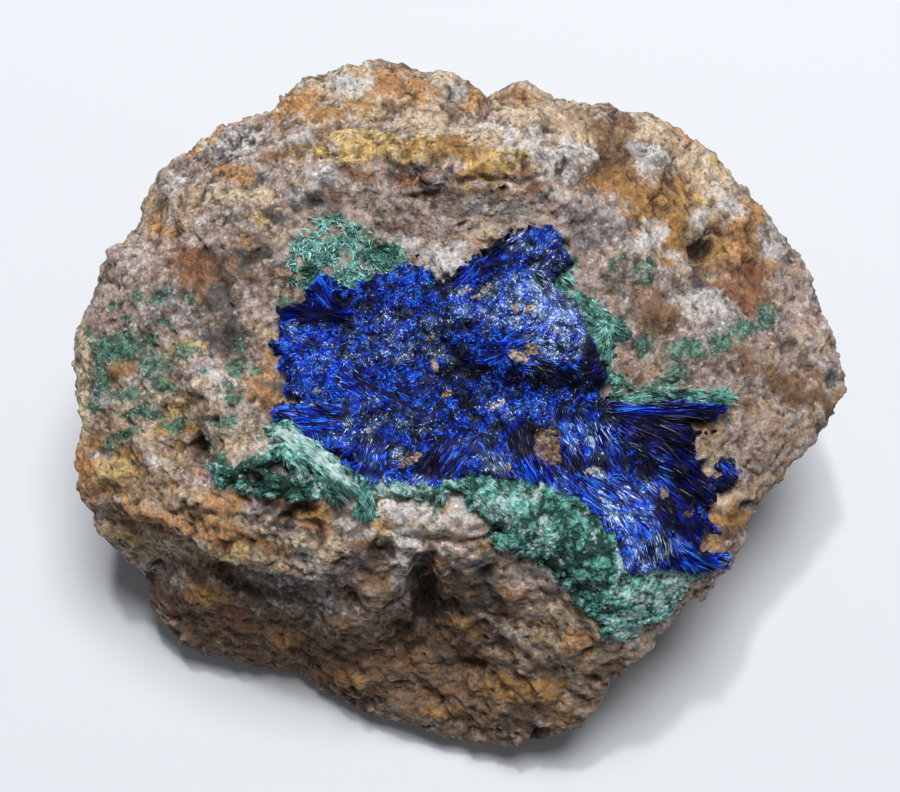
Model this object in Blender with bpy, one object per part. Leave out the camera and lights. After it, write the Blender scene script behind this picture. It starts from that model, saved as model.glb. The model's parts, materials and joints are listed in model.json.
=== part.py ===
"""A hand-sized linarite specimen: a broken block of quartz and ironstone with a crust of blue
linarite needles and green fibrous crusts grown on its upper face.

Run it with blender --background --python part.py, or from Blender's text editor.
Blender is in metres, +Z up. The tables below are in millimetres and are turned into metres on use.
The origin is under the middle of the block, on the surface that it stands on.
"""

import math

import bmesh
import bpy
import numpy as np
from mathutils import Vector, noise

MM = 0.001

# The crystal face leans to the front by this much. Points on it are given in its own frame:
# across (to the right), up the slope, and out of the face.
FACE_TILT = math.radians(14.0)
FACE_CENTRE = (-0.24, 0.97, 26.6)

# The middle of the finished block in the frame of these tables. It becomes the origin.
BLOCK_MIDDLE = (0.6, 2.4, 0.0)

# The edge where the broken top meets the sides, anticlockwise from the right-hand corner,
# as (across, up, out) of the crystal face.
RIM = (
    (33.0, 1.5, -8.0), (32.0, 5.0, -8.5), (29.5, 10.5, -9.0), (27.0, 15.0, -9.5),
    (23.0, 19.0, -10.0), (19.5, 22.5, -9.5), (13.5, 23.5, -7.5), (9.0, 23.5, -6.5),
    (5.0, 25.0, -6.5), (3.0, 24.0, -5.5), (0.5, 26.5, -6.0), (-4.5, 27.0, -6.0),
    (-9.0, 27.0, -6.5), (-13.0, 26.0, -6.5), (-14.0, 24.5, -6.5), (-19.0, 22.5, -7.5),
    (-23.5, 19.5, -8.5), (-25.0, 14.5, -8.0), (-29.0, 10.5, -7.5), (-30.5, 5.0, -7.0),
    (-30.5, -0.5, -7.5), (-33.5, -6.5, -8.5), (-33.5, -9.0, -9.5), (-31.0, -12.5, -11.5),
    (-27.5, -14.0, -13.5), (-25.0, -15.5, -15.0), (-27.5, -18.0, -16.5), (-26.0, -21.5, -17.5),
    (-18.5, -23.0, -18.0), (-13.0, -23.5, -18.0), (-9.0, -26.5, -18.0), (-4.5, -28.0, -18.0),
    (0.5, -29.5, -17.5), (6.5, -31.0, -16.0), (10.5, -28.5, -13.5), (13.0, -25.5, -10.5),
    (14.0, -23.0, -8.5), (17.0, -20.0, -6.5), (19.5, -16.5, -5.5), (22.5, -13.0, -5.0),
    (25.0, -9.0, -5.5), (28.5, -5.0, -6.5), (31.5, -2.0, -7.5),
)

# The relief inside the rim, region by region, as (across, up, out) of the crystal face.
RELIEF = {
    "back slope": (
        (-4.5, 23.5, -4.2), (-12.0, 22.5, -5.0), (1.5, 22.5, -3.8), (8.5, 21.5, -3.8),
        (15.0, 20.5, -5.5), (-15.5, 19.5, -3.4), (-19.5, 18.0, -5.2), (-22.0, 12.5, -4.4),
    ),
    "back ridge": (
        (-8.5, 19.4, -0.6), (-1.5, 19.4, 0.9), (4.2, 18.7, 0.9), (8.4, 16.6, 0.3),
        (13.5, 18.5, -3.6), (18.0, 16.5, -5.2), (-16.9, 15.1, -1.6), (-11.6, 15.9, -0.2),
    ),
    "shelf behind the crystals": (
        (-3.9, 14.8, -0.9), (2.3, 14.2, -0.6), (8.5, 12.7, -0.9), (-9.3, 11.3, -0.8),
        (15.6, 12.8, -2.2), (14.7, 5.1, -1.0),
    ),
    "right shoulder": (
        (20.0, 12.0, -5.4), (23.5, 13.5, -6.6), (25.0, 9.0, -6.0), (19.5, 7.5, -2.6),
        (19.4, 3.6, -1.8), (24.5, 4.5, -4.0), (28.0, 1.0, -5.2), (22.7, -1.1, -2.8),
        (26.5, -3.0, -4.6), (23.0, -6.5, -3.8),
    ),
    "crystal hollow": (
        (-7.8, 5.1, -1.8), (-1.6, 5.1, -2.0), (5.4, 7.5, -1.6), (-3.9, -0.3, -2.1),
        (3.9, -1.9, -2.2), (-9.3, -1.9, -1.6), (11.7, -2.7, -2.3), (15.6, -6.6, -2.6),
        (19.0, -11.5, -3.4), (11.7, -8.1, -2.3),
    ),
    "left shoulder": (
        (-15.4, 8.9, -0.4), (-19.4, 7.4, -1.2), (-23.5, 7.5, -2.8), (-25.0, 3.5, -3.6),
        (-15.4, 3.5, -0.4), (-19.3, 1.2, -1.0), (-25.0, -2.0, -4.2), (-17.6, -2.6, -0.3),
        (-19.2, -4.1, -2.2), (-21.9, -5.0, -2.8), (-27.0, -6.5, -6.0),
    ),
    "front lip": (
        (-11.5, -4.5, 0.9), (-14.6, -5.7, 0.7), (-8.4, -6.4, 0.4), (-5.4, -8.2, 0.0),
        (-24.0, -10.0, -5.4), (-18.0, -11.3, -3.0), (-11.6, -11.5, -0.9), (-7.7, -12.4, -0.6),
        (-1.5, -10.3, 0.4), (2.3, -9.5, 0.3), (-3.8, -11.7, 0.1), (6.9, -10.3, -0.6),
        (11.6, -11.9, -0.9), (8.6, -14.8, -2.6), (13.5, -17.0, -3.6), (16.0, -16.0, -4.0),
    ),
    "front face": (
        (-20.5, -16.0, -11.5), (-12.0, -16.5, -7.0), (-7.0, -16.5, -5.6), (-2.0, -17.5, -10.0),
        (1.5, -15.0, -4.0), (6.5, -18.0, -5.4), (10.5, -21.5, -7.6), (-16.5, -20.0, -14.5),
        (-9.0, -21.5, -12.5), (-2.5, -24.5, -14.0), (4.0, -25.0, -12.0), (8.0, -25.0, -11.5),
    ),
}

# The outline of the flat underside, anticlockwise from the right, as (x, y).
FOOT = (
    (26.0, 7.0), (25.0, 15.0), (20.0, 21.5), (12.0, 25.5), (0.0, 27.0), (-12.0, 25.5),
    (-21.0, 21.0), (-25.5, 14.0), (-27.5, 6.0), (-26.5, -2.0), (-23.5, -10.5), (-20.5, -15.0),
    (-13.5, -17.5), (-4.5, -20.5), (2.5, -21.5), (8.5, -19.0), (14.0, -13.5), (20.0, -7.0),
    (24.5, 0.0),
)

# Flat breaks on the lower sides, as (compass angle, degrees below level, distance from the heart).
BREAKS = (
    (15.0, 20.0, 28.0), (58.0, 26.0, 25.5), (100.0, 16.0, 25.5), (140.0, 28.0, 26.0),
    (178.0, 18.0, 27.2), (212.0, 12.0, 29.2), (320.0, 34.0, 21.0), (345.0, 24.0, 26.0),
)

HEART = (0.0, 0.0, 11.0)
HALF_SIZES = (31.0, 27.0, 17.0)
BALL_SUBDIVISIONS = 7
SIDE_FLARE = 0.7
EDGE_ROUNDING = 1.2
LONGEST_RAY = 48.0
RAY_STEPS = 40
HALVINGS = 14
ROCK_TRIANGLES = 4800

# Lumps on the broken stone: (size across, height), and the height that grades down to the foot.
LUMPS = ((11.0, 0.9), (4.6, 0.55), (2.2, 0.28))
FOOT_FADE = 3.0
SNAP_TO_FOOT = 0.25

GAP = 0.3
PRISM_BELOW = 14.0
PRISM_ABOVE = 9.0

# Crusts on the crystal face. Each outline is (across, up). edge is the thickness at the outline;
# crest is the thickness reached at a distance of rise inside it. A crust listed first keeps its
# whole outline, and those after it stop a gap short of it.
CRUSTS = {
    "linarite_north_sheaf": {
        "outline": (
            (-0.8, 7.4), (1.4, 9.7), (3.8, 11.2), (5.4, 12.6), (8.2, 12.2), (8.6, 10.5),
            (7.7, 8.6), (9.4, 7.2), (11.3, 5.1), (12.5, 3.1), (11.5, 1.4), (8.5, 0.8),
            (5.4, 0.8), (2.9, 1.7), (0.4, 3.4), (-1.5, 5.4),
        ),
        "edge": 2.0, "crest": 3.4, "rise": 2.2,
    },
    "linarite_west_sheaf": {
        "outline": (
            (-12.9, 6.4), (-11.5, 6.9), (-8.1, 6.5), (-7.2, 5.7), (-7.7, 4.8), (-10.0, 4.4),
            (-12.3, 4.6),
        ),
        "edge": 1.4, "crest": 2.4, "rise": 1.0,
    },
    "linarite_west_tuft": {
        "outline": (
            (-11.0, 8.0), (-9.8, 9.2), (-8.5, 8.5), (-7.7, 7.0), (-9.2, 6.3), (-10.6, 6.8),
        ),
        "edge": 1.2, "crest": 2.6, "rise": 1.1,
    },
    "linarite_east_fan": {
        "outline": (
            (10.4, 0.2), (13.1, -0.6), (17.7, -0.8), (21.4, -0.8), (20.3, -2.2), (18.5, -3.2),
            (18.8, -5.5), (17.4, -7.1), (14.6, -6.5), (12.2, -4.9), (10.6, -2.8),
        ),
        "edge": 0.8, "crest": 1.5, "rise": 2.0,
    },
    "linarite_south_fan": {
        "outline": (
            (6.6, -3.1), (10.8, -3.1), (14.6, -6.8), (18.5, -7.1), (20.3, -8.0), (19.7, -10.3),
            (21.1, -12.6), (19.2, -13.4), (15.4, -13.5), (13.5, -13.1), (12.5, -10.8),
            (10.9, -8.8), (8.2, -7.1),
        ),
        "edge": 0.9, "crest": 2.1, "rise": 2.0,
    },
    "linarite_stray_sheaf": {
        "outline": ((20.1, -4.6), (21.0, -4.3), (22.3, -5.7), (21.6, -6.6), (20.4, -5.9)),
        "edge": 0.6, "crest": 1.1, "rise": 0.7,
    },
    "linarite_mat": {
        "outline": (
            (-12.9, 4.3), (-13.7, 2.3), (-12.5, 0.3), (-13.4, -1.2), (-11.4, -2.8), (-8.1, -5.1),
            (-6.5, -6.5), (-3.8, -6.8), (-0.8, -6.8), (1.5, -5.8), (3.8, -6.5), (6.9, -6.8),
            (8.5, -7.4), (11.5, -5.7), (11.5, -0.3), (11.5, 1.2), (6.9, 0.5), (1.5, 2.0),
            (-1.9, 5.4), (-0.8, 7.7), (-1.7, 10.3), (-3.8, 9.5), (-6.9, 8.6), (-8.1, 7.2),
            (-7.5, 5.1),
        ),
        "edge": 1.0, "crest": 2.1, "rise": 2.4,
    },
    "green_north_tuft": {
        "outline": (
            (-12.3, 10.3), (-11.5, 11.7), (-10.0, 13.5), (-7.7, 13.0), (-6.3, 12.2), (-4.5, 11.7),
            (-3.7, 10.3), (-5.1, 9.4), (-7.5, 8.5), (-8.2, 7.7), (-10.0, 9.2), (-11.5, 8.5),
        ),
        "edge": 0.6, "crest": 1.4, "rise": 1.6,
    },
    "green_west_ledge": {
        "outline": (
            (-18.3, -5.2), (-17.5, -3.8), (-13.8, -2.9), (-11.5, -2.6), (-9.2, -4.5),
            (-7.3, -6.5), (-5.8, -7.5), (-6.3, -8.8), (-7.4, -8.6), (-8.1, -7.5), (-12.3, -7.5),
            (-15.4, -7.2), (-18.0, -6.2),
        ),
        "edge": 0.7, "crest": 1.5, "rise": 1.4,
    },
    "green_south_mat": {
        "outline": (
            (-6.0, -6.8), (-3.8, -6.9), (-0.8, -6.8), (1.5, -6.2), (3.8, -6.6), (6.9, -7.1),
            (8.9, -8.0), (10.9, -9.1), (12.2, -11.1), (13.2, -13.4), (13.4, -15.7),
            (11.7, -16.8), (10.0, -15.8), (8.8, -13.5), (6.9, -12.5), (4.6, -11.5), (2.3, -8.9),
            (-1.5, -8.2), (-4.6, -8.0),
        ),
        "edge": 0.9, "crest": 2.4, "rise": 2.0,
    },
    "green_southeast_mat": {
        "outline": (
            (11.7, -16.9), (13.7, -14.2), (16.2, -13.7), (19.0, -14.0), (18.2, -15.7),
            (15.8, -17.7), (13.4, -19.6), (12.6, -18.9),
        ),
        "edge": 0.6, "crest": 1.3, "rise": 1.6,
    },
    "green_east_fringe": {
        "outline": (
            (8.5, 10.2), (9.5, 8.3), (11.5, 7.4), (14.0, 4.6), (13.8, 2.8), (12.5, 1.2),
            (11.8, 3.5), (9.7, 6.9), (8.2, 8.5),
        ),
        "edge": 0.9, "crest": 1.7, "rise": 1.0,
    },
    "green_east_bar": {
        "outline": (
            (11.9, -0.2), (14.6, 0.5), (19.2, 0.9), (21.6, 0.6), (21.8, -0.5), (18.5, -0.6),
            (14.6, -0.6),
        ),
        "edge": 0.8, "crest": 1.5, "rise": 0.7,
    },
}

STONE_BROWN = (0.32, 0.21, 0.13, 1.0)
LINARITE_BLUE = (0.01, 0.03, 0.45, 1.0)
FIBROUS_GREEN = (0.13, 0.42, 0.27, 1.0)


def face_axes():
    """The crystal face's across, up and out directions in the row frame, as rows."""
    sine, cosine = math.sin(FACE_TILT), math.cos(FACE_TILT)
    return np.array(((1.0, 0.0, 0.0), (0.0, cosine, sine), (0.0, -sine, cosine)))


def from_face(points):
    """Face coordinates to row coordinates, both in millimetres."""
    return np.asarray(points, float) @ face_axes() + np.array(FACE_CENTRE)


def to_face(points):
    """Row coordinates to face coordinates, both in millimetres."""
    return (np.asarray(points, float) - np.array(FACE_CENTRE)) @ face_axes().T


def plate_kernel(distance):
    return distance**2 * np.log(np.maximum(distance, 1e-9))


class Relief:
    """The broken top as a height over the crystal face: a thin plate bent through the points."""

    def __init__(self, points):
        points = np.array(points, float)
        self.sites = points[:, :2]
        count = len(points)
        flat = np.column_stack((np.ones(count), self.sites))
        system = np.zeros((count + 3, count + 3))
        system[:count, :count] = plate_kernel(self.distances(self.sites))
        system[:count, count:] = flat
        system[count:, :count] = flat.T
        heights = np.concatenate((points[:, 2], np.zeros(3)))
        self.weights = np.linalg.solve(system, heights)

    def distances(self, places):
        return np.linalg.norm(places[:, None, :] - self.sites[None, :, :], axis=2)

    def height(self, places):
        count = len(self.sites)
        bend = plate_kernel(self.distances(places)) @ self.weights[:count]
        return bend + self.weights[count] + places @ self.weights[count + 1:]


def polar_outline(points):
    """(angles, radii) of an outline about the vertical axis, in order of angle."""
    points = np.asarray(points, float)
    angles = np.arctan2(points[:, 1], points[:, 0])
    order = np.argsort(angles)
    return angles[order], np.hypot(points[:, 0], points[:, 1])[order], order


def around(angles, known, values):
    return np.interp(angles, known, values, period=2.0 * math.pi)


def smooth_max(first, second, rounding):
    return 0.5 * (first + second + np.sqrt((first - second) ** 2 + rounding**2))


class Block:
    """The stone as a field: negative inside, positive outside, in millimetres."""

    def __init__(self):
        self.relief = Relief(RIM + sum(RELIEF.values(), ()))
        rim = from_face(RIM)
        self.rim_angles, self.rim_radii, order = polar_outline(rim)
        self.rim_heights = rim[order, 2]
        self.foot_angles, self.foot_radii, _ = polar_outline(FOOT)

    def side_radius(self, angles, heights):
        rim = around(angles, self.rim_angles, self.rim_radii)
        rim_height = around(angles, self.rim_angles, self.rim_heights)
        foot = around(angles, self.foot_angles, self.foot_radii)
        share = np.clip(heights / np.maximum(rim_height, 1.0), 0.0, 1.0)
        return foot + (rim - foot) * share**SIDE_FLARE

    def field(self, points):
        face = to_face(points)
        top = face[:, 2] - self.relief.height(face[:, :2])
        angles = np.arctan2(points[:, 1], points[:, 0])
        side = np.hypot(points[:, 0], points[:, 1]) - self.side_radius(angles, points[:, 2])
        for compass, below, distance in BREAKS:
            turn, dip = math.radians(compass), math.radians(-below)
            normal = np.array((
                math.cos(dip) * math.cos(turn), math.cos(dip) * math.sin(turn), math.sin(dip),
            ))
            side = smooth_max(side, (points - np.array(HEART)) @ normal - distance, EDGE_ROUNDING)
        broken = smooth_max(top, side, EDGE_ROUNDING)
        return np.maximum(broken, -points[:, 2])


def lump_height(point):
    """How far the broken stone stands out at a point, from its lumps of each size."""
    total = 0.0
    for number, (across, height) in enumerate(LUMPS):
        place = Vector(point) / across + Vector((7.3, 1.9, 4.1)) * (number + 1)
        total += height * noise.noise(place)
    return total


def outward_rays(mesh):
    """Unit rays from the heart through the vertices of the starting ball."""
    count = len(mesh.vertices)
    flat = np.empty(count * 3, np.float32)
    mesh.vertices.foreach_get("co", flat)
    rays = flat.reshape(-1, 3).astype(float) * np.array(HALF_SIZES)
    return rays / np.linalg.norm(rays, axis=1)[:, None]


def surface_along(rays, block):
    """Where each ray from the heart first leaves the block."""
    heart = np.array(HEART)
    step = LONGEST_RAY / RAY_STEPS
    near = np.zeros(len(rays))
    found = np.zeros(len(rays), bool)
    for number in range(1, RAY_STEPS + 1):
        outside = block.field(heart + rays * (number * step)) > 0.0
        near = np.where(~found & ~outside, number * step, near)
        found |= outside
    far = near + step
    for _ in range(HALVINGS):
        middle = (near + far) / 2.0
        outside = block.field(heart + rays * middle[:, None]) > 0.0
        far = np.where(outside, middle, far)
        near = np.where(outside, near, middle)
    return heart + rays * far[:, None]


def in_model(points):
    """Points of the tables' frame in the model, in metres about its origin."""
    return (np.asarray(points, float) - np.array(BLOCK_MIDDLE)) * MM


def set_points(mesh, points):
    mesh.vertices.foreach_set("co", in_model(points).astype(np.float32).ravel())
    mesh.update()


def points_of(mesh):
    flat = np.empty(len(mesh.vertices) * 3, np.float32)
    mesh.vertices.foreach_get("co", flat)
    return flat.reshape(-1, 3).astype(float) / MM + np.array(BLOCK_MIDDLE)


def make_material(name, colour, roughness):
    material = bpy.data.materials.new(name)
    material.use_nodes = True
    shader = material.node_tree.nodes["Principled BSDF"]
    shader.inputs["Base Color"].default_value = colour
    shader.inputs["Roughness"].default_value = roughness
    shader.inputs["Metallic"].default_value = 0.0
    return material


def new_object(name, mesh, collection):
    obj = bpy.data.objects.new(name, mesh)
    collection.objects.link(obj)
    return obj


def apply_modifiers(obj):
    """Replaces the object's mesh by what its modifiers make of it."""
    graph = bpy.context.evaluated_depsgraph_get()
    made = bpy.data.meshes.new_from_object(obj.evaluated_get(graph))
    obj.modifiers.clear()
    obj.data = made


def make_rock(collection):
    """The stone: a ball pushed out along its rays to the block's surface, then roughened."""
    bpy.ops.mesh.primitive_ico_sphere_add(subdivisions=BALL_SUBDIVISIONS - 1, radius=1.0)
    rock = bpy.context.object
    rock.name = "matrix_rock"
    for holder in list(rock.users_collection):
        holder.objects.unlink(rock)
    collection.objects.link(rock)

    rays = outward_rays(rock.data)
    points = surface_along(rays, Block())
    fade = np.clip(points[:, 2] / FOOT_FADE, 0.0, 1.0)
    lumps = np.array([lump_height(point) for point in points])
    points += rays * (lumps * fade)[:, None]
    set_points(rock.data, points)

    thin = rock.modifiers.new("thin_out", "DECIMATE")
    thin.ratio = ROCK_TRIANGLES / len(rock.data.polygons)
    bpy.context.view_layer.update()
    apply_modifiers(rock)
    points = points_of(rock.data)
    points[:, 2] = np.where(points[:, 2] < SNAP_TO_FOOT, 0.0, points[:, 2])
    set_points(rock.data, points)
    rock.data.shade_smooth()
    rock.data.set_sharp_from_angle(angle=math.radians(35.0))
    return rock


def inward_distance(places, outline):
    """How far each place lies inside an outline, negative outside it."""
    outline = np.asarray(outline, float)
    ends = np.roll(outline, -1, axis=0)
    best = np.full(len(places), 1e9)
    inside = np.zeros(len(places), bool)
    for start, end in zip(outline, ends):
        along = end - start
        share = np.clip((places - start) @ along / (along @ along), 0.0, 1.0)
        nearest = start + share[:, None] * along
        best = np.minimum(best, np.linalg.norm(places - nearest, axis=1))
        crosses = (start[1] > places[:, 1]) != (end[1] > places[:, 1])
        rise = end[1] - start[1] if end[1] != start[1] else 1e-9
        meets = start[0] + (places[:, 1] - start[1]) * along[0] / rise
        inside ^= crosses & (places[:, 0] < meets)
    return np.where(inside, best, -best)


def grown_outline(outline, distance):
    """The outline with every corner moved outwards by a distance."""
    outline = np.asarray(outline, float)
    before = outline - np.roll(outline, 1, axis=0)
    after = np.roll(outline, -1, axis=0) - outline
    area = np.sum(outline[:, 0] * np.roll(outline[:, 1], -1) - np.roll(outline[:, 0], -1) * outline[:, 1])
    turn = 1.0 if area > 0.0 else -1.0
    sides = []
    for edge in (before, after):
        unit = edge / np.linalg.norm(edge, axis=1)[:, None]
        sides.append(np.column_stack((unit[:, 1], -unit[:, 0])) * turn)
    corner = sides[0] + sides[1]
    corner /= np.maximum(np.sum(corner * sides[0], axis=1), 0.5)[:, None]
    return outline + corner * distance


def make_prism(name, outline, collection):
    """A tall prism over an outline of the crystal face, for cutting a crust to shape."""
    low = from_face([(across, up, -PRISM_BELOW) for across, up in outline])
    shape = bmesh.new()
    corners = [shape.verts.new(point) for point in in_model(low)]
    face = shape.faces.new(corners)
    pushed = bmesh.ops.extrude_face_region(shape, geom=[face])
    tops = [item for item in pushed["geom"] if isinstance(item, bmesh.types.BMVert)]
    lift = Vector(face_axes()[2]) * (PRISM_BELOW + PRISM_ABOVE) * MM
    bmesh.ops.translate(shape, verts=tops, vec=lift)
    bmesh.ops.recalc_face_normals(shape, faces=shape.faces)
    mesh = bpy.data.meshes.new(name)
    shape.to_mesh(mesh)
    shape.free()
    return new_object(name, mesh, collection)


def raised_copy(rock, name, lift, collection):
    """A copy of the stone with each point moved out of the crystal face by its own lift."""
    mesh = rock.data.copy()
    points = points_of(mesh)
    set_points(mesh, points + np.outer(lift, face_axes()[2]))
    return new_object(name, mesh, collection)


def boolean(obj, other, operation):
    modifier = obj.modifiers.new(operation.lower(), "BOOLEAN")
    modifier.object = other
    modifier.operation = operation
    modifier.solver = "EXACT"


def make_crust(name, rock, gap_copy, earlier, collection, cutters):
    """A crust: the skin between two raised copies of the stone, cut to its outline."""
    crust = CRUSTS[name]
    places = to_face(points_of(rock.data))[:, :2]
    depth = inward_distance(places, crust["outline"]) / crust["rise"]
    share = np.clip(depth, 0.0, 1.0)
    share = share * share * (3.0 - 2.0 * share)
    lift = GAP + crust["edge"] + (crust["crest"] - crust["edge"]) * share
    obj = raised_copy(rock, name, lift, collection)
    boolean(obj, make_prism(name + "_outline", crust["outline"], cutters), "INTERSECT")
    boolean(obj, gap_copy, "DIFFERENCE")
    for other in earlier:
        outline = grown_outline(CRUSTS[other]["outline"], GAP)
        boolean(obj, make_prism(f"{name}_clear_of_{other}", outline, cutters), "DIFFERENCE")
    bpy.context.view_layer.update()
    apply_modifiers(obj)
    return obj


def near(name, other):
    """Whether two crusts' outlines come close enough for one to be cut back from the other."""
    first, second = (np.array(CRUSTS[key]["outline"]) for key in (name, other))
    margin = 1.0
    return bool(
        (first.min(0) - margin < second.max(0)).all() and (second.min(0) - margin < first.max(0)).all()
    )


def main():
    for obj in list(bpy.data.objects):
        bpy.data.objects.remove(obj)
    specimen = bpy.data.collections.new("linarite_specimen")
    cutters = bpy.data.collections.new("cutters")
    for collection in (specimen, cutters):
        bpy.context.scene.collection.children.link(collection)

    stone = make_material("stone", STONE_BROWN, 0.8)
    blue = make_material("linarite", LINARITE_BLUE, 0.3)
    green = make_material("green_fibre", FIBROUS_GREEN, 0.6)

    rock = make_rock(specimen)
    gap_copy = raised_copy(rock, "gap_copy", np.full(len(rock.data.vertices), GAP), cutters)
    done = []
    for name in CRUSTS:
        earlier = [other for other in done if near(name, other)]
        crust = make_crust(name, rock, gap_copy, earlier, specimen, cutters)
        crust.data.materials.clear()
        crust.data.materials.append(blue if name.startswith("linarite") else green)
        done.append(name)
    rock.data.materials.clear()
    rock.data.materials.append(stone)

    for cutter in cutters.objects:
        cutter.hide_render = True
        cutter.display_type = "WIRE"


main()
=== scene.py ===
"""Visible surfaces of a linarite specimen, grown over its solid model.

The stone is the model's block with broken facets, grains, pits and mineral stains. Blue needles and
green fibres grow on it where the model has its crusts. Everything is in metres, in the model's frame.
"""

import json  # noqa: E402
import math  # noqa: E402

import bmesh  # noqa: E402
import bpy  # noqa: E402
import numpy as np  # noqa: E402
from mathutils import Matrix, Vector, noise  # noqa: E402
from mathutils.bvhtree import BVHTree  # noqa: E402

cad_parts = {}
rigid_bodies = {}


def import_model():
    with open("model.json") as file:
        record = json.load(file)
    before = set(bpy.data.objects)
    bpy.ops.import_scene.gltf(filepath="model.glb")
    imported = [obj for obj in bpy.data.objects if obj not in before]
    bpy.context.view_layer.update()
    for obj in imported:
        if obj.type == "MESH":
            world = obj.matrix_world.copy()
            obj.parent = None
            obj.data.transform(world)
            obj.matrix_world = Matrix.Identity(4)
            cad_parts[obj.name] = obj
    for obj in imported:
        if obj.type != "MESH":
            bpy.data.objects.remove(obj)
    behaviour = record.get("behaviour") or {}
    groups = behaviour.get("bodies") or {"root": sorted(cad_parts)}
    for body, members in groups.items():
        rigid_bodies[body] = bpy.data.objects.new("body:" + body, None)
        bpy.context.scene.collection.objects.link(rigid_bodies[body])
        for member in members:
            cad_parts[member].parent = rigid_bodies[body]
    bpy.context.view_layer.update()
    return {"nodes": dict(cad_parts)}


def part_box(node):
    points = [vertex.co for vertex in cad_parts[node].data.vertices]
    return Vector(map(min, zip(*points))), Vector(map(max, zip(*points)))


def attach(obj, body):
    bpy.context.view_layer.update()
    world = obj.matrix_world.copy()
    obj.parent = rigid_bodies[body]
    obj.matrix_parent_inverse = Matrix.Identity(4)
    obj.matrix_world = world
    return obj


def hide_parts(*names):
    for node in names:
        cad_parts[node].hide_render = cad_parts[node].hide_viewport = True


bl_info = {
    "name": "Linarite Specimen",
    "version": (1, 0, 0),
    "blender": (4, 5, 0),
    "location": "3D View > Sidebar > Specimen",
    "description": "Builds the stone, needles and fibres of a linarite specimen over its solid model",
    "category": "Add Mesh",
}

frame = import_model()

MM = 0.001

# The crystal face: its middle, its lean to the front, and the view straight down on to it. Places on
# the face are given in that view's picture, in pixels. An ellipse there is x, y, half width, half
# height and, where it is turned, its turn in degrees.
FACE_CENTRE = np.array((-0.84, -1.43, 26.6)) * MM
FACE_TILT = math.radians(14.0)
VIEW_HEIGHT = 170.0 * MM
PICTURE_WIDTH = 900
PICTURE_HEIGHT = 792
PICTURE_MIDDLE = (PICTURE_WIDTH / 2.0, PICTURE_HEIGHT / 2.0)
FOCAL_PIXELS = 2210.0
PIXEL = VIEW_HEIGHT / FOCAL_PIXELS
SENSOR_WIDTH = 36.0

ACROSS = np.array((1.0, 0.0, 0.0))
UP_FACE = np.array((0.0, math.cos(FACE_TILT), math.sin(FACE_TILT)))
OUT = np.array((0.0, -math.sin(FACE_TILT), math.cos(FACE_TILT)))

BLUE_NODES = (
    "linarite_mat", "linarite_north_sheaf", "linarite_west_sheaf", "linarite_west_tuft",
    "linarite_east_fan", "linarite_south_fan", "linarite_stray_sheaf",
)
GREEN_NODES = (
    "green_north_tuft", "green_west_ledge", "green_south_mat", "green_southeast_mat",
    "green_east_fringe", "green_east_bar",
)
CRUST_NODES = BLUE_NODES + GREEN_NODES

# Crusts that are thinner than their closed bodies: {node: share of the thickness}.
THINNER = {"linarite_stray_sheaf": 0.45}

# Green slopes without lumps, as ellipses.
EVEN_SLOPES = ((316, 456, 54, 22, -40), (366, 490, 12, 24))

# How each green crust grows: (thinness, fibre length factor, lift, fibre width factor, share of the
# full number of fibres). A thin one leaves the stone bare between its fibres.
GREEN_HABITS = {
    "green_north_tuft": (1.0, 2.1, 0.4, 1.45, 1.15), "green_west_ledge": (0.0, 0.55, 0.9, 0.7, 0.6),
    "green_south_mat": (0.0, 0.55, 0.9, 0.7, 0.6), "green_southeast_mat": (0.3, 0.5, 0.9, 0.7, 0.6),
    "green_east_fringe": (0.7, 0.9, 0.3, 0.9, 1.0), "green_east_bar": (0.7, 1.1, 0.3, 0.8, 0.8),
}

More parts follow.
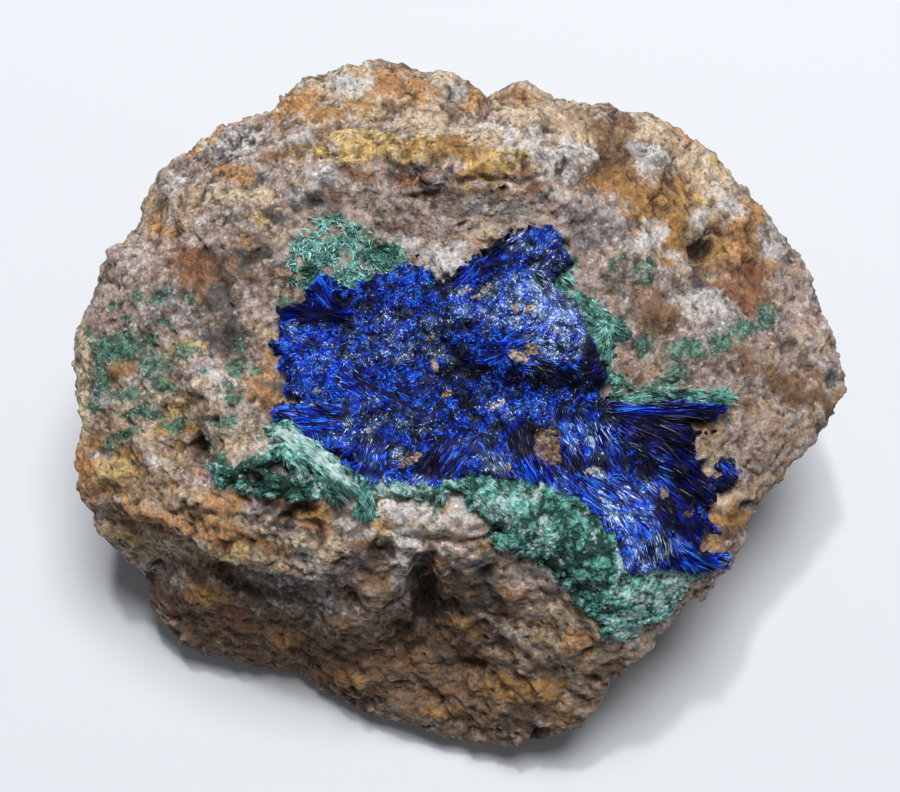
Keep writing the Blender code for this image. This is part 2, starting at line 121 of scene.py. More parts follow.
# The stone's colours on the crystal face: (colour, ellipse). Later ones lie over earlier ones; the
# nearly black ones in hollows, in crevices and along the ledge are partly painted shade.
STAINS = (
    # broad zones; the dark brown and darkest brown ones on the front slope are partly painted shade
    ("pink", 400, 200, 120, 40), ("pink", 600, 215, 70, 40), ("mauve", 205, 270, 60, 50),
    ("mauve", 660, 310, 60, 60), ("mauve", 790, 320, 40, 80), ("tan", 740, 420, 80, 60, 30),
    ("mauve", 160, 330, 70, 60), ("grey", 190, 312, 40, 30), ("mauve", 110, 300, 30, 30),
    ("ochre", 150, 480, 80, 40, -20), ("tan", 170, 425, 70, 34), ("cream", 400, 92, 120, 26, 5),
    ("tan", 560, 112, 60, 18, -10), ("white", 564, 160, 40, 20), ("cream", 566, 136, 40, 16),
    ("cream", 668, 142, 44, 32, -20), ("ochre", 660, 215, 50, 22, -40), ("ochre", 740, 250, 40, 26, -40),
    ("brown", 618, 150, 16, 40), ("earth", 250, 640, 130, 56, -18), ("brown", 300, 650, 120, 30, -18),
    ("rust", 225, 610, 46, 20, -18), ("tan", 570, 600, 60, 50), ("grey", 720, 300, 80, 40),
    ("mauve", 690, 380, 70, 30), ("brown", 450, 680, 150, 70, -18), ("tan", 590, 640, 60, 50, 30),
    ("brown", 330, 545, 60, 34), ("earth", 470, 590, 60, 40), ("tan", 190, 520, 90, 26, -18),
    ("tan", 740, 450, 60, 60, 30), ("pink", 740, 448, 60, 30, 30), ("grey", 200, 150, 40, 20, 30),
    ("tan", 170, 190, 30, 40),
    # upper rim
    ("cream", 345, 75, 28, 10), ("yellow", 297, 100, 14, 14), ("orange", 385, 78, 20, 12),
    ("rust", 378, 84, 8, 6), ("cream", 440, 82, 20, 9), ("orange", 415, 96, 16, 8),
    ("cream", 330, 118, 30, 9), ("tan", 470, 95, 14, 9), ("dark", 483, 104, 6, 8),
    ("orange", 515, 97, 22, 9, -8), ("cream", 550, 108, 18, 8), ("tan", 575, 118, 26, 8),
    ("rust", 500, 112, 16, 6), ("yellow", 370, 148, 40, 11), ("cream", 355, 140, 14, 7),
    ("ochre", 430, 150, 26, 10), ("cream", 440, 130, 18, 8), ("brown", 400, 118, 26, 6),
    ("orange", 222, 130, 50, 7, 30), ("orange", 182, 158, 22, 6, 40), ("yellow", 205, 140, 14, 7, 30),
    ("white", 236, 142, 18, 10), ("white", 305, 140, 22, 12), ("dark", 253, 143, 12, 4, -30),
    ("brown", 290, 152, 30, 6), ("rust", 270, 158, 14, 6), ("white", 322, 176, 20, 12),
    # upper left
    ("orange", 234, 174, 14, 6, -20), ("cream", 246, 196, 22, 10), ("grey", 254, 178, 18, 7),
    ("dark", 250, 181, 10, 5), ("dark", 182, 182, 10, 5, 20), ("grey", 188, 176, 14, 8),
    ("dark", 316, 203, 14, 9, 30), ("grey", 300, 192, 18, 9), ("brown", 336, 200, 12, 8),
    ("dark", 276, 214, 10, 7), ("dark", 232, 216, 8, 6), ("yellow", 262, 218, 14, 7),
    ("orange", 162, 229, 10, 5, -10), ("orange", 300, 238, 5, 4), ("orange", 242, 238, 7, 4),
    ("rust", 168, 245, 8, 6), ("pink", 122, 268, 26, 26, 30), ("white", 128, 262, 12, 10),
    ("dark", 96, 289, 6, 8), ("rust", 196, 262, 18, 16), ("brown", 215, 280, 24, 20),
    ("dark", 250, 256, 14, 9, 20), ("dark", 226, 262, 9, 6), ("dark", 222, 292, 12, 14, 20),
    ("dark", 232, 330, 9, 9), ("dark", 216, 342, 8, 8), ("grey", 230, 318, 18, 20, 20),
    ("grey", 150, 300, 26, 10, -20), ("cream", 274, 236, 16, 12), ("pink", 262, 300, 20, 30),
    ("white", 300, 205, 8, 8), ("white", 250, 290, 9, 7), ("grey", 276, 258, 8, 8),
    # left
    ("pink", 170, 345, 30, 20), ("white", 206, 384, 16, 12), ("cream", 150, 405, 30, 16),
    ("ochre", 120, 372, 18, 12), ("earth", 112, 372, 7, 6), ("rust", 130, 366, 7, 5),
    ("earth", 112, 352, 20, 9), ("orange", 272, 376, 12, 30), ("rust", 270, 392, 6, 14),
    ("cream", 84, 372, 9, 56), ("grey", 190, 352, 12, 10), ("yellow", 178, 404, 16, 9),
    ("pink", 246, 408, 20, 16), ("white", 232, 432, 16, 10), ("earth", 200, 448, 10, 15, 20),
    ("earth", 213, 424, 4, 5), ("cream", 150, 436, 24, 12), ("tan", 110, 430, 20, 12),
    ("dark", 90, 444, 7, 6),
    # lower left
    ("orange", 82, 456, 12, 14), ("rust", 80, 486, 12, 12), ("yellow", 110, 470, 20, 10),
    ("orange", 128, 496, 22, 9, -15), ("cream", 172, 474, 22, 11), ("orange", 166, 500, 16, 8),
    ("white", 152, 464, 12, 7), ("cream", 200, 500, 18, 14), ("dark", 186, 506, 6, 9, -15),
    ("grey", 192, 520, 8, 10), ("yellow", 214, 516, 10, 14), ("white", 180, 522, 8, 8),
    ("brown", 124, 520, 28, 10, -30), ("tan", 160, 545, 30, 8, -18), ("orange", 238, 500, 20, 10),
    ("cream", 232, 530, 22, 12, -15), ("grey", 268, 506, 18, 14), ("brown", 256, 486, 14, 9),
    ("orange", 304, 497, 20, 9), ("rust", 298, 512, 16, 9), ("earth", 286, 516, 10, 7),
    ("earth", 308, 508, 7, 6), ("orange", 318, 524, 12, 10), ("dark", 292, 528, 7, 6),
    ("white", 344, 508, 14, 14), ("grey", 336, 528, 18, 14), ("rust", 262, 545, 20, 8),
    # the thin darkest brown strip along the ledge is partly painted shadow under its lip
    ("cream", 300, 548, 24, 8, -10), ("grey", 300, 586, 50, 12, -15), ("earth", 210, 572, 70, 8, -18),
    # below the blue
    ("cream", 430, 514, 66, 15, -6), ("pink", 404, 510, 22, 8), ("white", 384, 508, 16, 8),
    ("white", 428, 510, 20, 9), ("white", 404, 540, 22, 10, -30), ("white", 340, 512, 16, 14),
    ("cream", 466, 516, 28, 12, -10), ("orange", 478, 532, 16, 7, -20), ("orange", 446, 532, 18, 5),
    ("dark", 386, 545, 13, 10), ("dark", 376, 552, 6, 6), ("white", 412, 548, 14, 9),
    ("white", 362, 534, 14, 6), ("dark", 342, 560, 15, 9, -10), ("brown", 380, 585, 28, 20),
    ("tan", 372, 600, 16, 14), ("earth", 426, 586, 16, 32), ("orange", 430, 568, 12, 7),
    ("ochre", 440, 586, 12, 9), ("orange", 458, 622, 14, 9), ("ochre", 470, 636, 14, 8),
    ("dark", 476, 566, 22, 12), ("dark", 488, 590, 14, 14), ("earth", 455, 600, 16, 12),
    ("rust", 512, 600, 14, 18), ("orange", 506, 588, 8, 7), ("orange", 500, 546, 16, 8, -20),
    ("cream", 548, 580, 20, 18, -30), ("tan", 560, 600, 16, 14), ("dark", 524, 552, 8, 10),
    ("orange", 575, 645, 18, 16), ("tan", 590, 624, 14, 10), ("earth", 610, 668, 14, 12),
    ("rust", 374, 668, 12, 7), ("rust", 410, 660, 12, 7), ("earth", 452, 655, 20, 12),
    ("earth", 400, 630, 20, 10), ("ochre", 500, 690, 30, 14), ("ochre", 440, 715, 24, 9),
    ("earth", 515, 716, 18, 10), ("ochre", 545, 690, 20, 16), ("dark", 540, 738, 12, 11),
    ("earth", 592, 681, 9, 7), ("ochre", 560, 720, 14, 9), ("rust", 480, 660, 14, 8),
    ("ochre", 208, 596, 26, 14), ("cream", 257, 612, 8, 7), ("rust", 176, 600, 12, 10),
    ("ochre", 280, 640, 24, 9, -15), ("ochre", 350, 680, 26, 10, -18), ("earth", 310, 650, 14, 8),
    # upper middle
    ("ochre", 490, 166, 34, 18), ("yellow", 478, 160, 14, 9), ("white", 486, 138, 26, 12),
    ("cream", 500, 150, 12, 8), ("rust", 521, 164, 7, 11), ("earth", 503, 193, 5, 5),
    ("grey", 430, 178, 18, 14), ("dark", 445, 170, 6, 6), ("earth", 420, 196, 24, 6),
    ("rust", 410, 176, 14, 8), ("pink", 380, 215, 30, 14), ("rust", 362, 176, 16, 8),
    ("grey", 470, 205, 20, 10), ("pink", 430, 240, 40, 12), ("white", 446, 266, 18, 14),
    ("brown", 470, 195, 22, 5), ("brown", 380, 235, 22, 8), ("grey", 352, 232, 12, 6),
    ("rust", 530, 190, 12, 8), ("grey", 520, 212, 16, 9), ("pink", 590, 240, 20, 12),
    # upper right
    ("white", 578, 162, 20, 16), ("yellow", 590, 140, 14, 7), ("dark", 571, 160, 6, 10),
    ("grey", 560, 170, 8, 10), ("brown", 616, 130, 16, 20), ("rust", 612, 165, 24, 16),
    ("ochre", 600, 184, 20, 8), ("white", 656, 150, 18, 16), ("cream", 640, 128, 10, 8),
    ("dark", 645, 144, 6, 4), ("orange", 684, 138, 16, 14, -40), ("cream", 690, 160, 14, 12, -40),
    ("ochre", 660, 196, 24, 16, 20), ("brown", 672, 180, 16, 8), ("ochre", 676, 226, 18, 18),
    ("yellow", 668, 238, 10, 9), ("yellow", 712, 170, 10, 12, -40), ("white", 718, 192, 14, 22, -20),
    ("cream", 708, 214, 9, 12), ("ochre", 742, 216, 9, 20, -20), ("orange", 740, 205, 6, 12, -20),
    ("ochre", 728, 245, 16, 12), ("earth", 698, 250, 10, 9), ("earth", 712, 234, 12, 4, 15),
    ("ochre", 742, 262, 26, 14), ("rust", 756, 268, 14, 10), ("orange", 726, 276, 12, 8),
    ("white", 766, 244, 9, 16, -20), ("dark", 698, 280, 11, 14), ("brown", 752, 298, 28, 12),
    ("earth", 745, 304, 16, 6), ("pink", 790, 290, 14, 40, -20), ("cream", 800, 330, 8, 24, -20),
    ("brown", 660, 312, 20, 20), ("grey", 672, 300, 14, 12), ("dark", 650, 322, 8, 7),
    ("white", 706, 306, 20, 9), ("grey", 630, 235, 16, 12), ("white", 646, 226, 5, 22, -20),
    ("white", 668, 268, 7, 20, -25), ("brown", 590, 225, 16, 10), ("pink", 700, 322, 24, 9),
    # right
    ("pink", 722, 378, 22, 12), ("brown", 745, 352, 26, 9, -10), ("pink", 782, 352, 20, 12),
    ("dark", 836, 376, 10, 10), ("grey", 832, 366, 10, 6), ("orange", 838, 394, 9, 10),
    ("earth", 800, 396, 16, 9), ("grey", 770, 392, 18, 8), ("brown", 800, 375, 20, 8),
    ("brown", 740, 402, 26, 9), ("dark", 733, 419, 6, 5), ("pink", 712, 462, 14, 10),
    ("orange", 704, 484, 9, 7), ("ochre", 730, 520, 24, 18), ("cream", 724, 500, 12, 9),
    ("earth", 752, 505, 8, 7), ("earth", 725, 535, 10, 7), ("orange", 712, 544, 12, 8),
    ("tan", 660, 368, 14, 6), ("brown", 640, 380, 10, 5), ("cream", 790, 372, 14, 5, -30),
    # a second layer, all over the face
    ("brown", 350, 128, 60, 4, 3), ("brown", 440, 112, 40, 4), ("rust", 470, 82, 5, 12),
    ("brown", 330, 96, 8, 10, 30), ("brown", 400, 104, 20, 4), ("orange", 430, 92, 10, 5),
    ("ochre", 318, 112, 16, 6), ("brown", 540, 128, 30, 4, -8), ("white", 470, 132, 34, 7),
    ("white", 520, 150, 12, 12), ("brown", 624, 170, 12, 22), ("ochre", 640, 190, 16, 12, -30),
    ("brown", 700, 262, 16, 8, -20), ("ochre", 716, 250, 14, 16), ("brown", 734, 286, 22, 8, -20),
    ("white", 652, 152, 20, 18), ("ochre", 669, 140, 14, 11), ("ochre", 676, 216, 40, 50),
    ("cream", 727, 178, 20, 28, -40), ("orange", 750, 235, 18, 42, -20), ("white", 768, 240, 12, 18),
    ("rust", 743, 288, 30, 26), ("tan", 700, 224, 14, 22), ("yellow", 690, 196, 16, 12),
    ("brown", 612, 136, 20, 30), ("white", 494, 138, 42, 16), ("white", 566, 150, 26, 10),
    ("yellow", 490, 164, 34, 22), ("ochre", 474, 176, 20, 8), ("orange", 302, 496, 34, 13),
    ("ochre", 314, 518, 22, 15), ("mauve", 346, 506, 20, 20), ("ochre", 262, 548, 62, 18, -15),
    ("orange", 205, 520, 24, 30), ("dark", 350, 564, 34, 13, 12), ("yellow", 394, 522, 28, 26),
    ("cream", 402, 514, 30, 16), ("white", 404, 562, 12, 24), ("white", 440, 510, 60, 16, -6),
    ("cream", 470, 524, 34, 12, -10), ("cream", 428, 528, 20, 8), ("cream", 548, 580, 34, 30, -30),
    ("cream", 320, 552, 40, 14, -12), ("white", 300, 560, 20, 8, -12), ("mauve", 752, 380, 50, 22),
    ("white", 652, 234, 10, 26, -20), ("white", 706, 308, 30, 12), ("brown", 660, 318, 26, 28),
    ("pink", 802, 300, 16, 50, -20), ("white", 442, 262, 30, 19), ("white", 468, 520, 46, 13, -14),
    ("white", 416, 512, 40, 10), ("pink", 530, 575, 34, 20, -35), ("cream", 150, 540, 52, 12, -20),
    ("cream", 232, 554, 60, 9, -15), ("orange", 92, 470, 22, 30), ("grey", 590, 222, 26, 20),
    ("dark", 640, 352, 14, 11), ("brown", 792, 388, 46, 13, -25), ("pink", 175, 172, 28, 18, 30),
    ("pink", 108, 285, 32, 22, 30), ("cream", 400, 120, 84, 8), ("cream", 480, 138, 46, 9),
    ("dark", 276, 385, 16, 5), ("dark", 834, 378, 11, 8), ("dark", 750, 506, 14, 7),
    ("rust", 704, 424, 18, 7), ("cream", 712, 462, 20, 14), ("dark", 222, 296, 16, 22, 15),
    ("dark", 222, 338, 24, 12), ("brown", 212, 276, 46, 20), ("white", 214, 378, 24, 15, -20),
    ("yellow", 188, 348, 20, 10), ("cream", 196, 390, 16, 10), ("orange", 264, 396, 22, 18),
    ("cream", 236, 444, 30, 14), ("yellow", 400, 528, 36, 4, -8), ("white", 414, 520, 22, 12),
    ("white", 406, 546, 13, 16, 20), ("pink", 470, 518, 26, 13, -20), ("ochre", 180, 430, 26, 12),
    ("tan", 150, 492, 46, 20, -18), ("yellow", 118, 474, 26, 14, -10), ("grey", 456, 498, 16, 9),
    ("ochre", 446, 506, 8, 6), ("ochre", 622, 178, 28, 18), ("ochre", 660, 204, 30, 16, -20),
    ("yellow", 706, 176, 14, 24, -40), ("cream", 728, 188, 12, 30, -35), ("white", 700, 218, 8, 14, -20),
    ("orange", 372, 84, 26, 12), ("cream", 330, 92, 22, 10), ("yellow", 300, 106, 20, 10, 20),
    ("yellow", 420, 146, 30, 12), ("cream", 345, 136, 22, 9), ("orange", 470, 100, 24, 10),
    ("cream", 520, 112, 40, 8, -8), ("white", 176, 180, 14, 8, 30), ("pink", 150, 250, 26, 14, 30),
    ("yellow", 226, 548, 22, 9, -20), ("orange", 150, 520, 30, 10, -25), ("cream", 264, 532, 34, 10, -18),
    ("mauve", 262, 508, 22, 14), ("dark", 245, 260, 22, 12, 20), ("dark", 222, 294, 17, 20, 20),
    ("dark", 232, 334, 17, 14), ("dark", 313, 203, 20, 14, 30), ("dark", 277, 214, 15, 10),
    ("dark", 251, 181, 17, 8), ("orange", 300, 102, 26, 18), ("yellow", 375, 148, 66, 16),
    ("ochre", 446, 150, 34, 12), ("white", 236, 143, 28, 14), ("orange", 236, 174, 20, 9, -20),
    ("cream", 248, 198, 26, 12), ("rust", 196, 270, 20, 20), ("orange", 163, 229, 16, 8, -10),
    ("orange", 404, 90, 30, 14), ("ochre", 350, 112, 24, 10), ("white", 352, 86, 20, 10),
    ("white", 452, 92, 14, 10), ("cream", 714, 187, 46, 13, -42), ("white", 726, 200, 18, 9, -42),
    ("cream", 660, 140, 40, 10, -25), ("tan", 150, 494, 30, 12, -18), ("mauve", 196, 478, 22, 10, -18),
    ("orange", 208, 532, 44, 12, -16), ("yellow", 130, 538, 26, 8, -24), ("white", 404, 246, 24, 9, -12),
    ("pink", 380, 224, 40, 10), ("white", 556, 574, 18, 14, -30), ("white", 466, 508, 20, 9, -10),
    # crevices, near-black: dirt and painted shade in them and under the ledge's lip
    ("crevice_shade", 292, 508, 12, 6), ("crevice_shade", 288, 524, 13, 8), ("crevice_shade", 319, 536, 6, 10),
    ("crevice_shade", 386, 547, 18, 12, -20), ("crevice_shade", 697, 246, 14, 14), ("crevice_shade", 560, 162, 6, 12),
    ("crevice_shade", 424, 590, 14, 30, -10), ("crevice_shade", 436, 612, 12, 12), ("crevice_shade", 524, 553, 5, 9, -20),
    ("crevice_shade", 388, 546, 9, 6, -20), ("crevice_shade", 203, 446, 7, 14, 20), ("crevice_shade", 213, 424, 3, 5),
    ("crevice_shade", 697, 250, 8, 7), ("crevice_shade", 483, 104, 4, 7), ("crevice_shade", 318, 205, 7, 5, 30), ("crevice_shade", 291, 518, 6, 6),
    ("crevice_shade", 306, 510, 5, 5), ("crevice_shade", 444, 604, 8, 7), ("crevice_shade", 184, 506, 3, 7, -15),
    ("crevice_shade", 521, 164, 3, 8), ("crevice_shade", 503, 193, 3, 4), ("crevice_shade", 487, 576, 9, 6), ("crevice_shade", 252, 256, 9, 5, 20),
    ("crevice_shade", 540, 740, 9, 8), ("crevice_shade", 712, 234, 9, 3, 15), ("crevice_shade", 338, 560, 6, 4),
    ("crevice_shade", 246, 590, 40, 5, -18), ("crevice_shade", 320, 606, 30, 4, -12), ("crevice_shade", 410, 640, 12, 8),
    ("crevice_shade", 232, 330, 5, 5),
)

# How far the white grains are missing from each colour.
SMOOTHNESS = {
    "earth": 0.9, "brown": 0.85, "ochre": 0.85, "rust": 0.85, "dark": 0.8, "crevice_shade": 1.0,
    "orange": 0.7, "yellow": 0.55, "cream": 0.4, "tan": 0.5,
}

# Colours that come and go all over the stone: (colour, size in millimetres, where they start and are
# full on noise that runs from about -1 to 1, share).
VARIETY = (
    ("cream", 5.0, -0.1, 0.4, 0.7), ("mauve", 4.0, 0.0, 0.45, 0.7), ("orange", 2.2, 0.2, 0.5, 0.6),
    ("white", 1.8, 0.22, 0.45, 0.7), ("brown", 1.5, 0.22, 0.45, 0.7), ("yellow", 1.7, 0.32, 0.5, 0.5),
    ("grey", 1.2, 0.2, 0.4, 0.7), ("cream", 1.1, 0.25, 0.45, 0.65), ("rust", 0.9, 0.32, 0.5, 0.65),
    ("dark", 0.7, 0.36, 0.5, 0.75),
)

# The same for the sides and the back: (colour, size in millimetres, start, full).
HIDDEN_ZONES = (
    ("tan", 12.0, -0.3, 0.3), ("brown", 9.0, -0.2, 0.3), ("cream", 6.0, 0.25, 0.6),
    ("ochre", 4.0, 0.3, 0.7), ("white", 3.0, 0.4, 0.7), ("earth", 3.0, 0.15, 0.5),
    ("dark", 2.0, 0.4, 0.65),
)

# Green film on the bare stone, as ellipses.
GREEN_FILM = (
    (498, 246, 14, 3, 35), (564, 246, 4, 14, -10), (572, 262, 8, 8), (515, 233, 8, 3, 20),
    (118, 347, 30, 18), (100, 374, 10, 26), (150, 362, 18, 16), (112, 308, 8, 6), (129, 322, 6, 7),
    (139, 292, 8, 5), (158, 296, 9, 6), (95, 403, 9, 10), (166, 386, 14, 10), (128, 396, 22, 8),
    (146, 412, 22, 7), (128, 432, 16, 6), (226, 424, 16, 9), (176, 426, 14, 9), (186, 352, 14, 9),
    (258, 372, 6, 5), (111, 444, 7, 5), (236, 370, 12, 18), (234, 399, 10, 6), (284, 308, 12, 12),
    (218, 462, 8, 16), (250, 484, 34, 7), (367, 492, 7, 18), (410, 492, 30, 8), (439, 500, 6, 14),
    (623, 257, 5, 6), (650, 262, 7, 9), (645, 279, 10, 4), (652, 346, 9, 9), (682, 350, 16, 10, 20),
    (676, 374, 12, 16), (658, 384, 14, 6, 10), (720, 342, 12, 9), (744, 330, 18, 9, 25),
    (766, 318, 10, 13), (640, 268, 7, 8), (624, 258, 6, 6), (638, 284, 10, 5), (612, 262, 5, 10, 20),
    (696, 348, 18, 12), (638, 350, 8, 10), (152, 372, 12, 10), (176, 346, 9, 6), (160, 322, 8, 4),
    (190, 300, 6, 4), (205, 372, 5, 4), (150, 340, 7, 5), (125, 396, 7, 5), (240, 345, 5, 6),
    (700, 345, 12, 6), (510, 530, 8, 5), (496, 545, 6, 4), (668, 385, 20, 6), (88, 330, 5, 8),
)

# Hollows in the stone: (x, y, half width, half height, depth in millimetres).
HOLLOWS = (
    (425, 588, 17, 32, 2.4), (200, 450, 8, 15, 1.7), (213, 422, 5, 5, 0.9), (699, 248, 11, 11, 1.9),
    (715, 232, 14, 4, 0.8), (521, 163, 7, 11, 1.4), (503, 193, 5, 5, 0.8), (483, 104, 6, 9, 1.2),
    (302, 508, 12, 9, 0.9), (318, 530, 9, 9, 0.8), (540, 740, 9, 12, 1.4), (592, 680, 9, 7, 1.0),
    (188, 505, 5, 8, 0.9), (836, 375, 9, 9, 0.7), (748, 505, 8, 6, 0.7), (732, 419, 7, 6, 0.6),
    (384, 546, 14, 10, 0.8), (470, 668, 18, 12, 0.9), (253, 251, 11, 10, 0.5), (223, 290, 7, 12, 0.5),
    (558, 163, 5, 4, 0.7), (345, 605, 18, 9, 0.7), (500, 645, 14, 9, 0.8), (286, 516, 7, 5, 0.7),
    (345, 562, 10, 6, 0.5), (488, 575, 10, 8, 0.8), (452, 602, 9, 7, 0.8), (524, 552, 6, 8, 0.6),
    (400, 626, 14, 8, 0.6), (226, 560, 16, 6, 0.5), (310, 620, 18, 8, 0.6), (180, 620, 14, 7, 0.5),
    (570, 170, 6, 9, 0.6), (640, 190, 8, 10, 0.4), (690, 284, 9, 12, 0.5), (735, 304, 16, 6, 0.4),
    (318, 205, 9, 7, 0.4), (276, 165, 10, 5, 0.4), (196, 240, 8, 12, 0.4), (420, 198, 20, 5, 0.5),
    (380, 166, 12, 6, 0.4), (90, 410, 6, 8, 0.4), (144, 392, 8, 6, 0.4), (460, 545, 10, 6, 0.5),
    (655, 325, 8, 7, 0.4),
)

# Raised lumps of the stone: (x, y, half width, half height, height in millimetres).
KNOBS = (
    (430, 516, 56, 14, 0.8), (445, 268, 18, 14, 0.7), (301, 498, 20, 8, 0.5), (434, 571, 12, 9, 0.6),
    (461, 622, 13, 10, 0.8), (485, 140, 22, 12, 0.5), (579, 160, 24, 16, 0.5), (722, 190, 14, 22, 0.6),
    (345, 80, 18, 11, 0.7), (440, 86, 18, 11, 0.7), (388, 80, 15, 11, 0.6), (110, 474, 22, 12, 0.6),
    (574, 646, 16, 13, 0.6), (430, 178, 14, 11, 0.5), (208, 383, 14, 10, 0.5), (170, 474, 18, 10, 0.5),
    (300, 102, 15, 11, 0.6), (515, 97, 18, 8, 0.5), (550, 108, 16, 8, 0.4), (612, 150, 12, 22, 0.5),
    (656, 150, 16, 14, 0.6), (690, 150, 12, 16, 0.4), (360, 148, 16, 8, 0.5), (430, 148, 18, 8, 0.5),
    (122, 268, 22, 20, 0.6), (178, 200, 16, 20, 0.4), (250, 196, 18, 9, 0.4), (742, 216, 8, 18, 0.5),
    (676, 226, 12, 16, 0.5), (744, 264, 18, 9, 0.4), (200, 504, 14, 11, 0.6), (140, 510, 18, 8, 0.5),
    (232, 530, 18, 9, 0.4), (300, 546, 20, 7, 0.4), (380, 590, 22, 14, 0.6), (548, 580, 16, 14, 0.5),
    (512, 598, 11, 14, 0.5), (470, 636, 11, 7, 0.5), (386, 545, 9, 6, 0.4), (784, 345, 30, 7, 0.4),
    (700, 322, 18, 7, 0.3), (150, 436, 20, 9, 0.4), (120, 372, 14, 9, 0.4), (206, 596, 18, 11, 0.5),
    (280, 640, 18, 8, 0.4), (545, 690, 16, 13, 0.5), (440, 712, 20, 8, 0.4), (350, 678, 20, 9, 0.4),
    (724, 505, 14, 10, 0.5), (730, 540, 12, 9, 0.4), (760, 450, 16, 22, 0.4),
)

# Steps and cracks across the stone: (points, half width, height in millimetres).
SEAMS = (
    (((132, 530), (184, 545), (216, 568), (280, 586), (350, 601)), 11, -1.1),
    (((95, 515), (140, 540), (165, 572)), 9, -0.7),
    (((700, 236), (729, 230), (745, 250)), 4, -0.8),
    (((777, 338), (806, 355), (837, 375)), 9, 0.7),
    (((316, 176), (360, 160), (420, 158), (462, 178)), 7, 0.45),
    (((462, 186), (500, 184), (524, 184)), 6, -0.6),
    (((590, 118), (596, 150), (612, 190)), 6, -0.5),
    (((150, 215), (190, 160), (250, 135)), 8, 0.5),
    (((500, 545), (540, 560), (575, 600), (600, 640)), 8, 0.5),
    (((650, 500), (700, 470), (745, 430)), 6, -0.4),
    (((400, 640), (420, 690), (470, 730)), 6, -0.5),
    (((260, 600), (300, 640), (360, 670)), 6, -0.5),
    (((285, 152), (330, 130), (400, 122), (462, 122), (520, 128)), 5, -0.6),
    (((620, 120), (636, 180), (664, 216), (690, 240)), 6, -0.5),
    (((716, 226), (736, 262), (770, 282)), 5, -0.5),
    (((388, 534), (430, 540), (500, 536), (520, 548)), 5, -0.6),
    (((262, 490), (320, 492), (352, 500)), 4, -0.5),
    (((110, 500), (170, 520), (215, 545), (290, 566)), 6, 0.5),
)

# Spots where the crusts leave the stone bare, as ellipses.
BARE_SPOTS = (
    (442, 264, 22, 17, -8), (290, 401, 15, 5, 5), (341, 457, 11, 6, 10), (268, 362, 8, 10),
    (236, 447, 38, 19, 4), (262, 446, 14, 12), (286, 471, 15, 6), (308, 470, 9, 6, -30),
    (252, 475, 12, 5, -20), (276, 466, 14, 6, 10), (350, 498, 11, 13), (350, 474, 7, 6),
    (406, 506, 40, 10), (456, 504, 16, 14), (478, 521, 20, 9, -25), (300, 296, 9, 8),
    (418, 262, 10, 6, 20), (708, 446, 16, 9, -10), (706, 425, 20, 8), (730, 422, 14, 14),
    (711, 452, 16, 20), (709, 469, 15, 7, -42), (720, 512, 15, 15), (710, 542, 17, 12, -25),
    (272, 361, 14, 11), (277, 384, 13, 15), (283, 398, 10, 8), (271, 318, 9, 15), (608, 294, 30, 14, -43),
    (624, 356, 15, 19), (660, 387, 34, 4, 6), (700, 386, 30, 5), (744, 396, 11, 14),
)

# Where a crust spreads thinly over bare stone: (crust, ellipse).
SPREADS = (
    ("green_south_mat", 408, 482, 34, 8), ("green_west_ledge", 214, 452, 8, 16, 10),
    ("linarite_east_fan", 712, 483, 24, 13, 10), ("linarite_south_fan", 712, 564, 22, 7, 6),
    ("linarite_stray_sheaf", 735, 470, 9, 5, -42), ("linarite_mat", 282, 346, 9, 5, 5),
)

# It stays on the crystal face: no deeper under the face's middle than this, and this thick.
SPREAD_DEPTH = 6.5 * MM
SPREAD_THICKNESS = 0.45 * MM

# Where a crust spreads over its neighbour's edge: (neighbour, crust, ellipse).
OVERGROWN = (("linarite_north_sheaf", "green_east_fringe", 604, 326, 15, 40, 15),)

# Bits of stone that lie in the blue: (colour, ellipse).
CRUMBS = (
    ("brown", 548, 445, 14, 19, -20), ("ochre", 541, 435, 7, 7, 0), ("cream", 519, 357, 13, 6, -24),
    ("tan", 532, 348, 8, 8, 30), ("yellow", 447, 394, 6, 4, 30), ("tan", 435, 365, 4, 8, 20),
    ("tan", 431, 338, 4, 3, 0), ("white", 495, 406, 6, 4, 30), ("white", 501, 402, 4, 5, 0),
    ("tan", 516, 309, 3, 6, 10), ("cream", 530, 308, 6, 3, 20), ("white", 462, 293, 5, 3, 20),
    ("white", 469, 289, 3, 5, 30), ("pink", 477, 297, 7, 3, 10), ("white", 484, 291, 4, 5, 20),
    ("white", 490, 286, 5, 3, -20), ("tan", 416, 457, 7, 5, 35), ("tan", 408, 462, 4, 5, 0),
    ("tan", 401, 462, 4, 8, 10), ("tan", 369, 430, 4, 3, 0), ("tan", 508, 467, 3, 5, 20),
    ("cream", 556, 331, 6, 3, -20), ("white", 592, 471, 8, 4, 10), ("tan", 317, 391, 5, 3, 20),
    ("brown", 554, 460, 9, 6, 10), ("earth", 664, 492, 5, 8, 0), ("earth", 690, 514, 7, 4, 10),
)
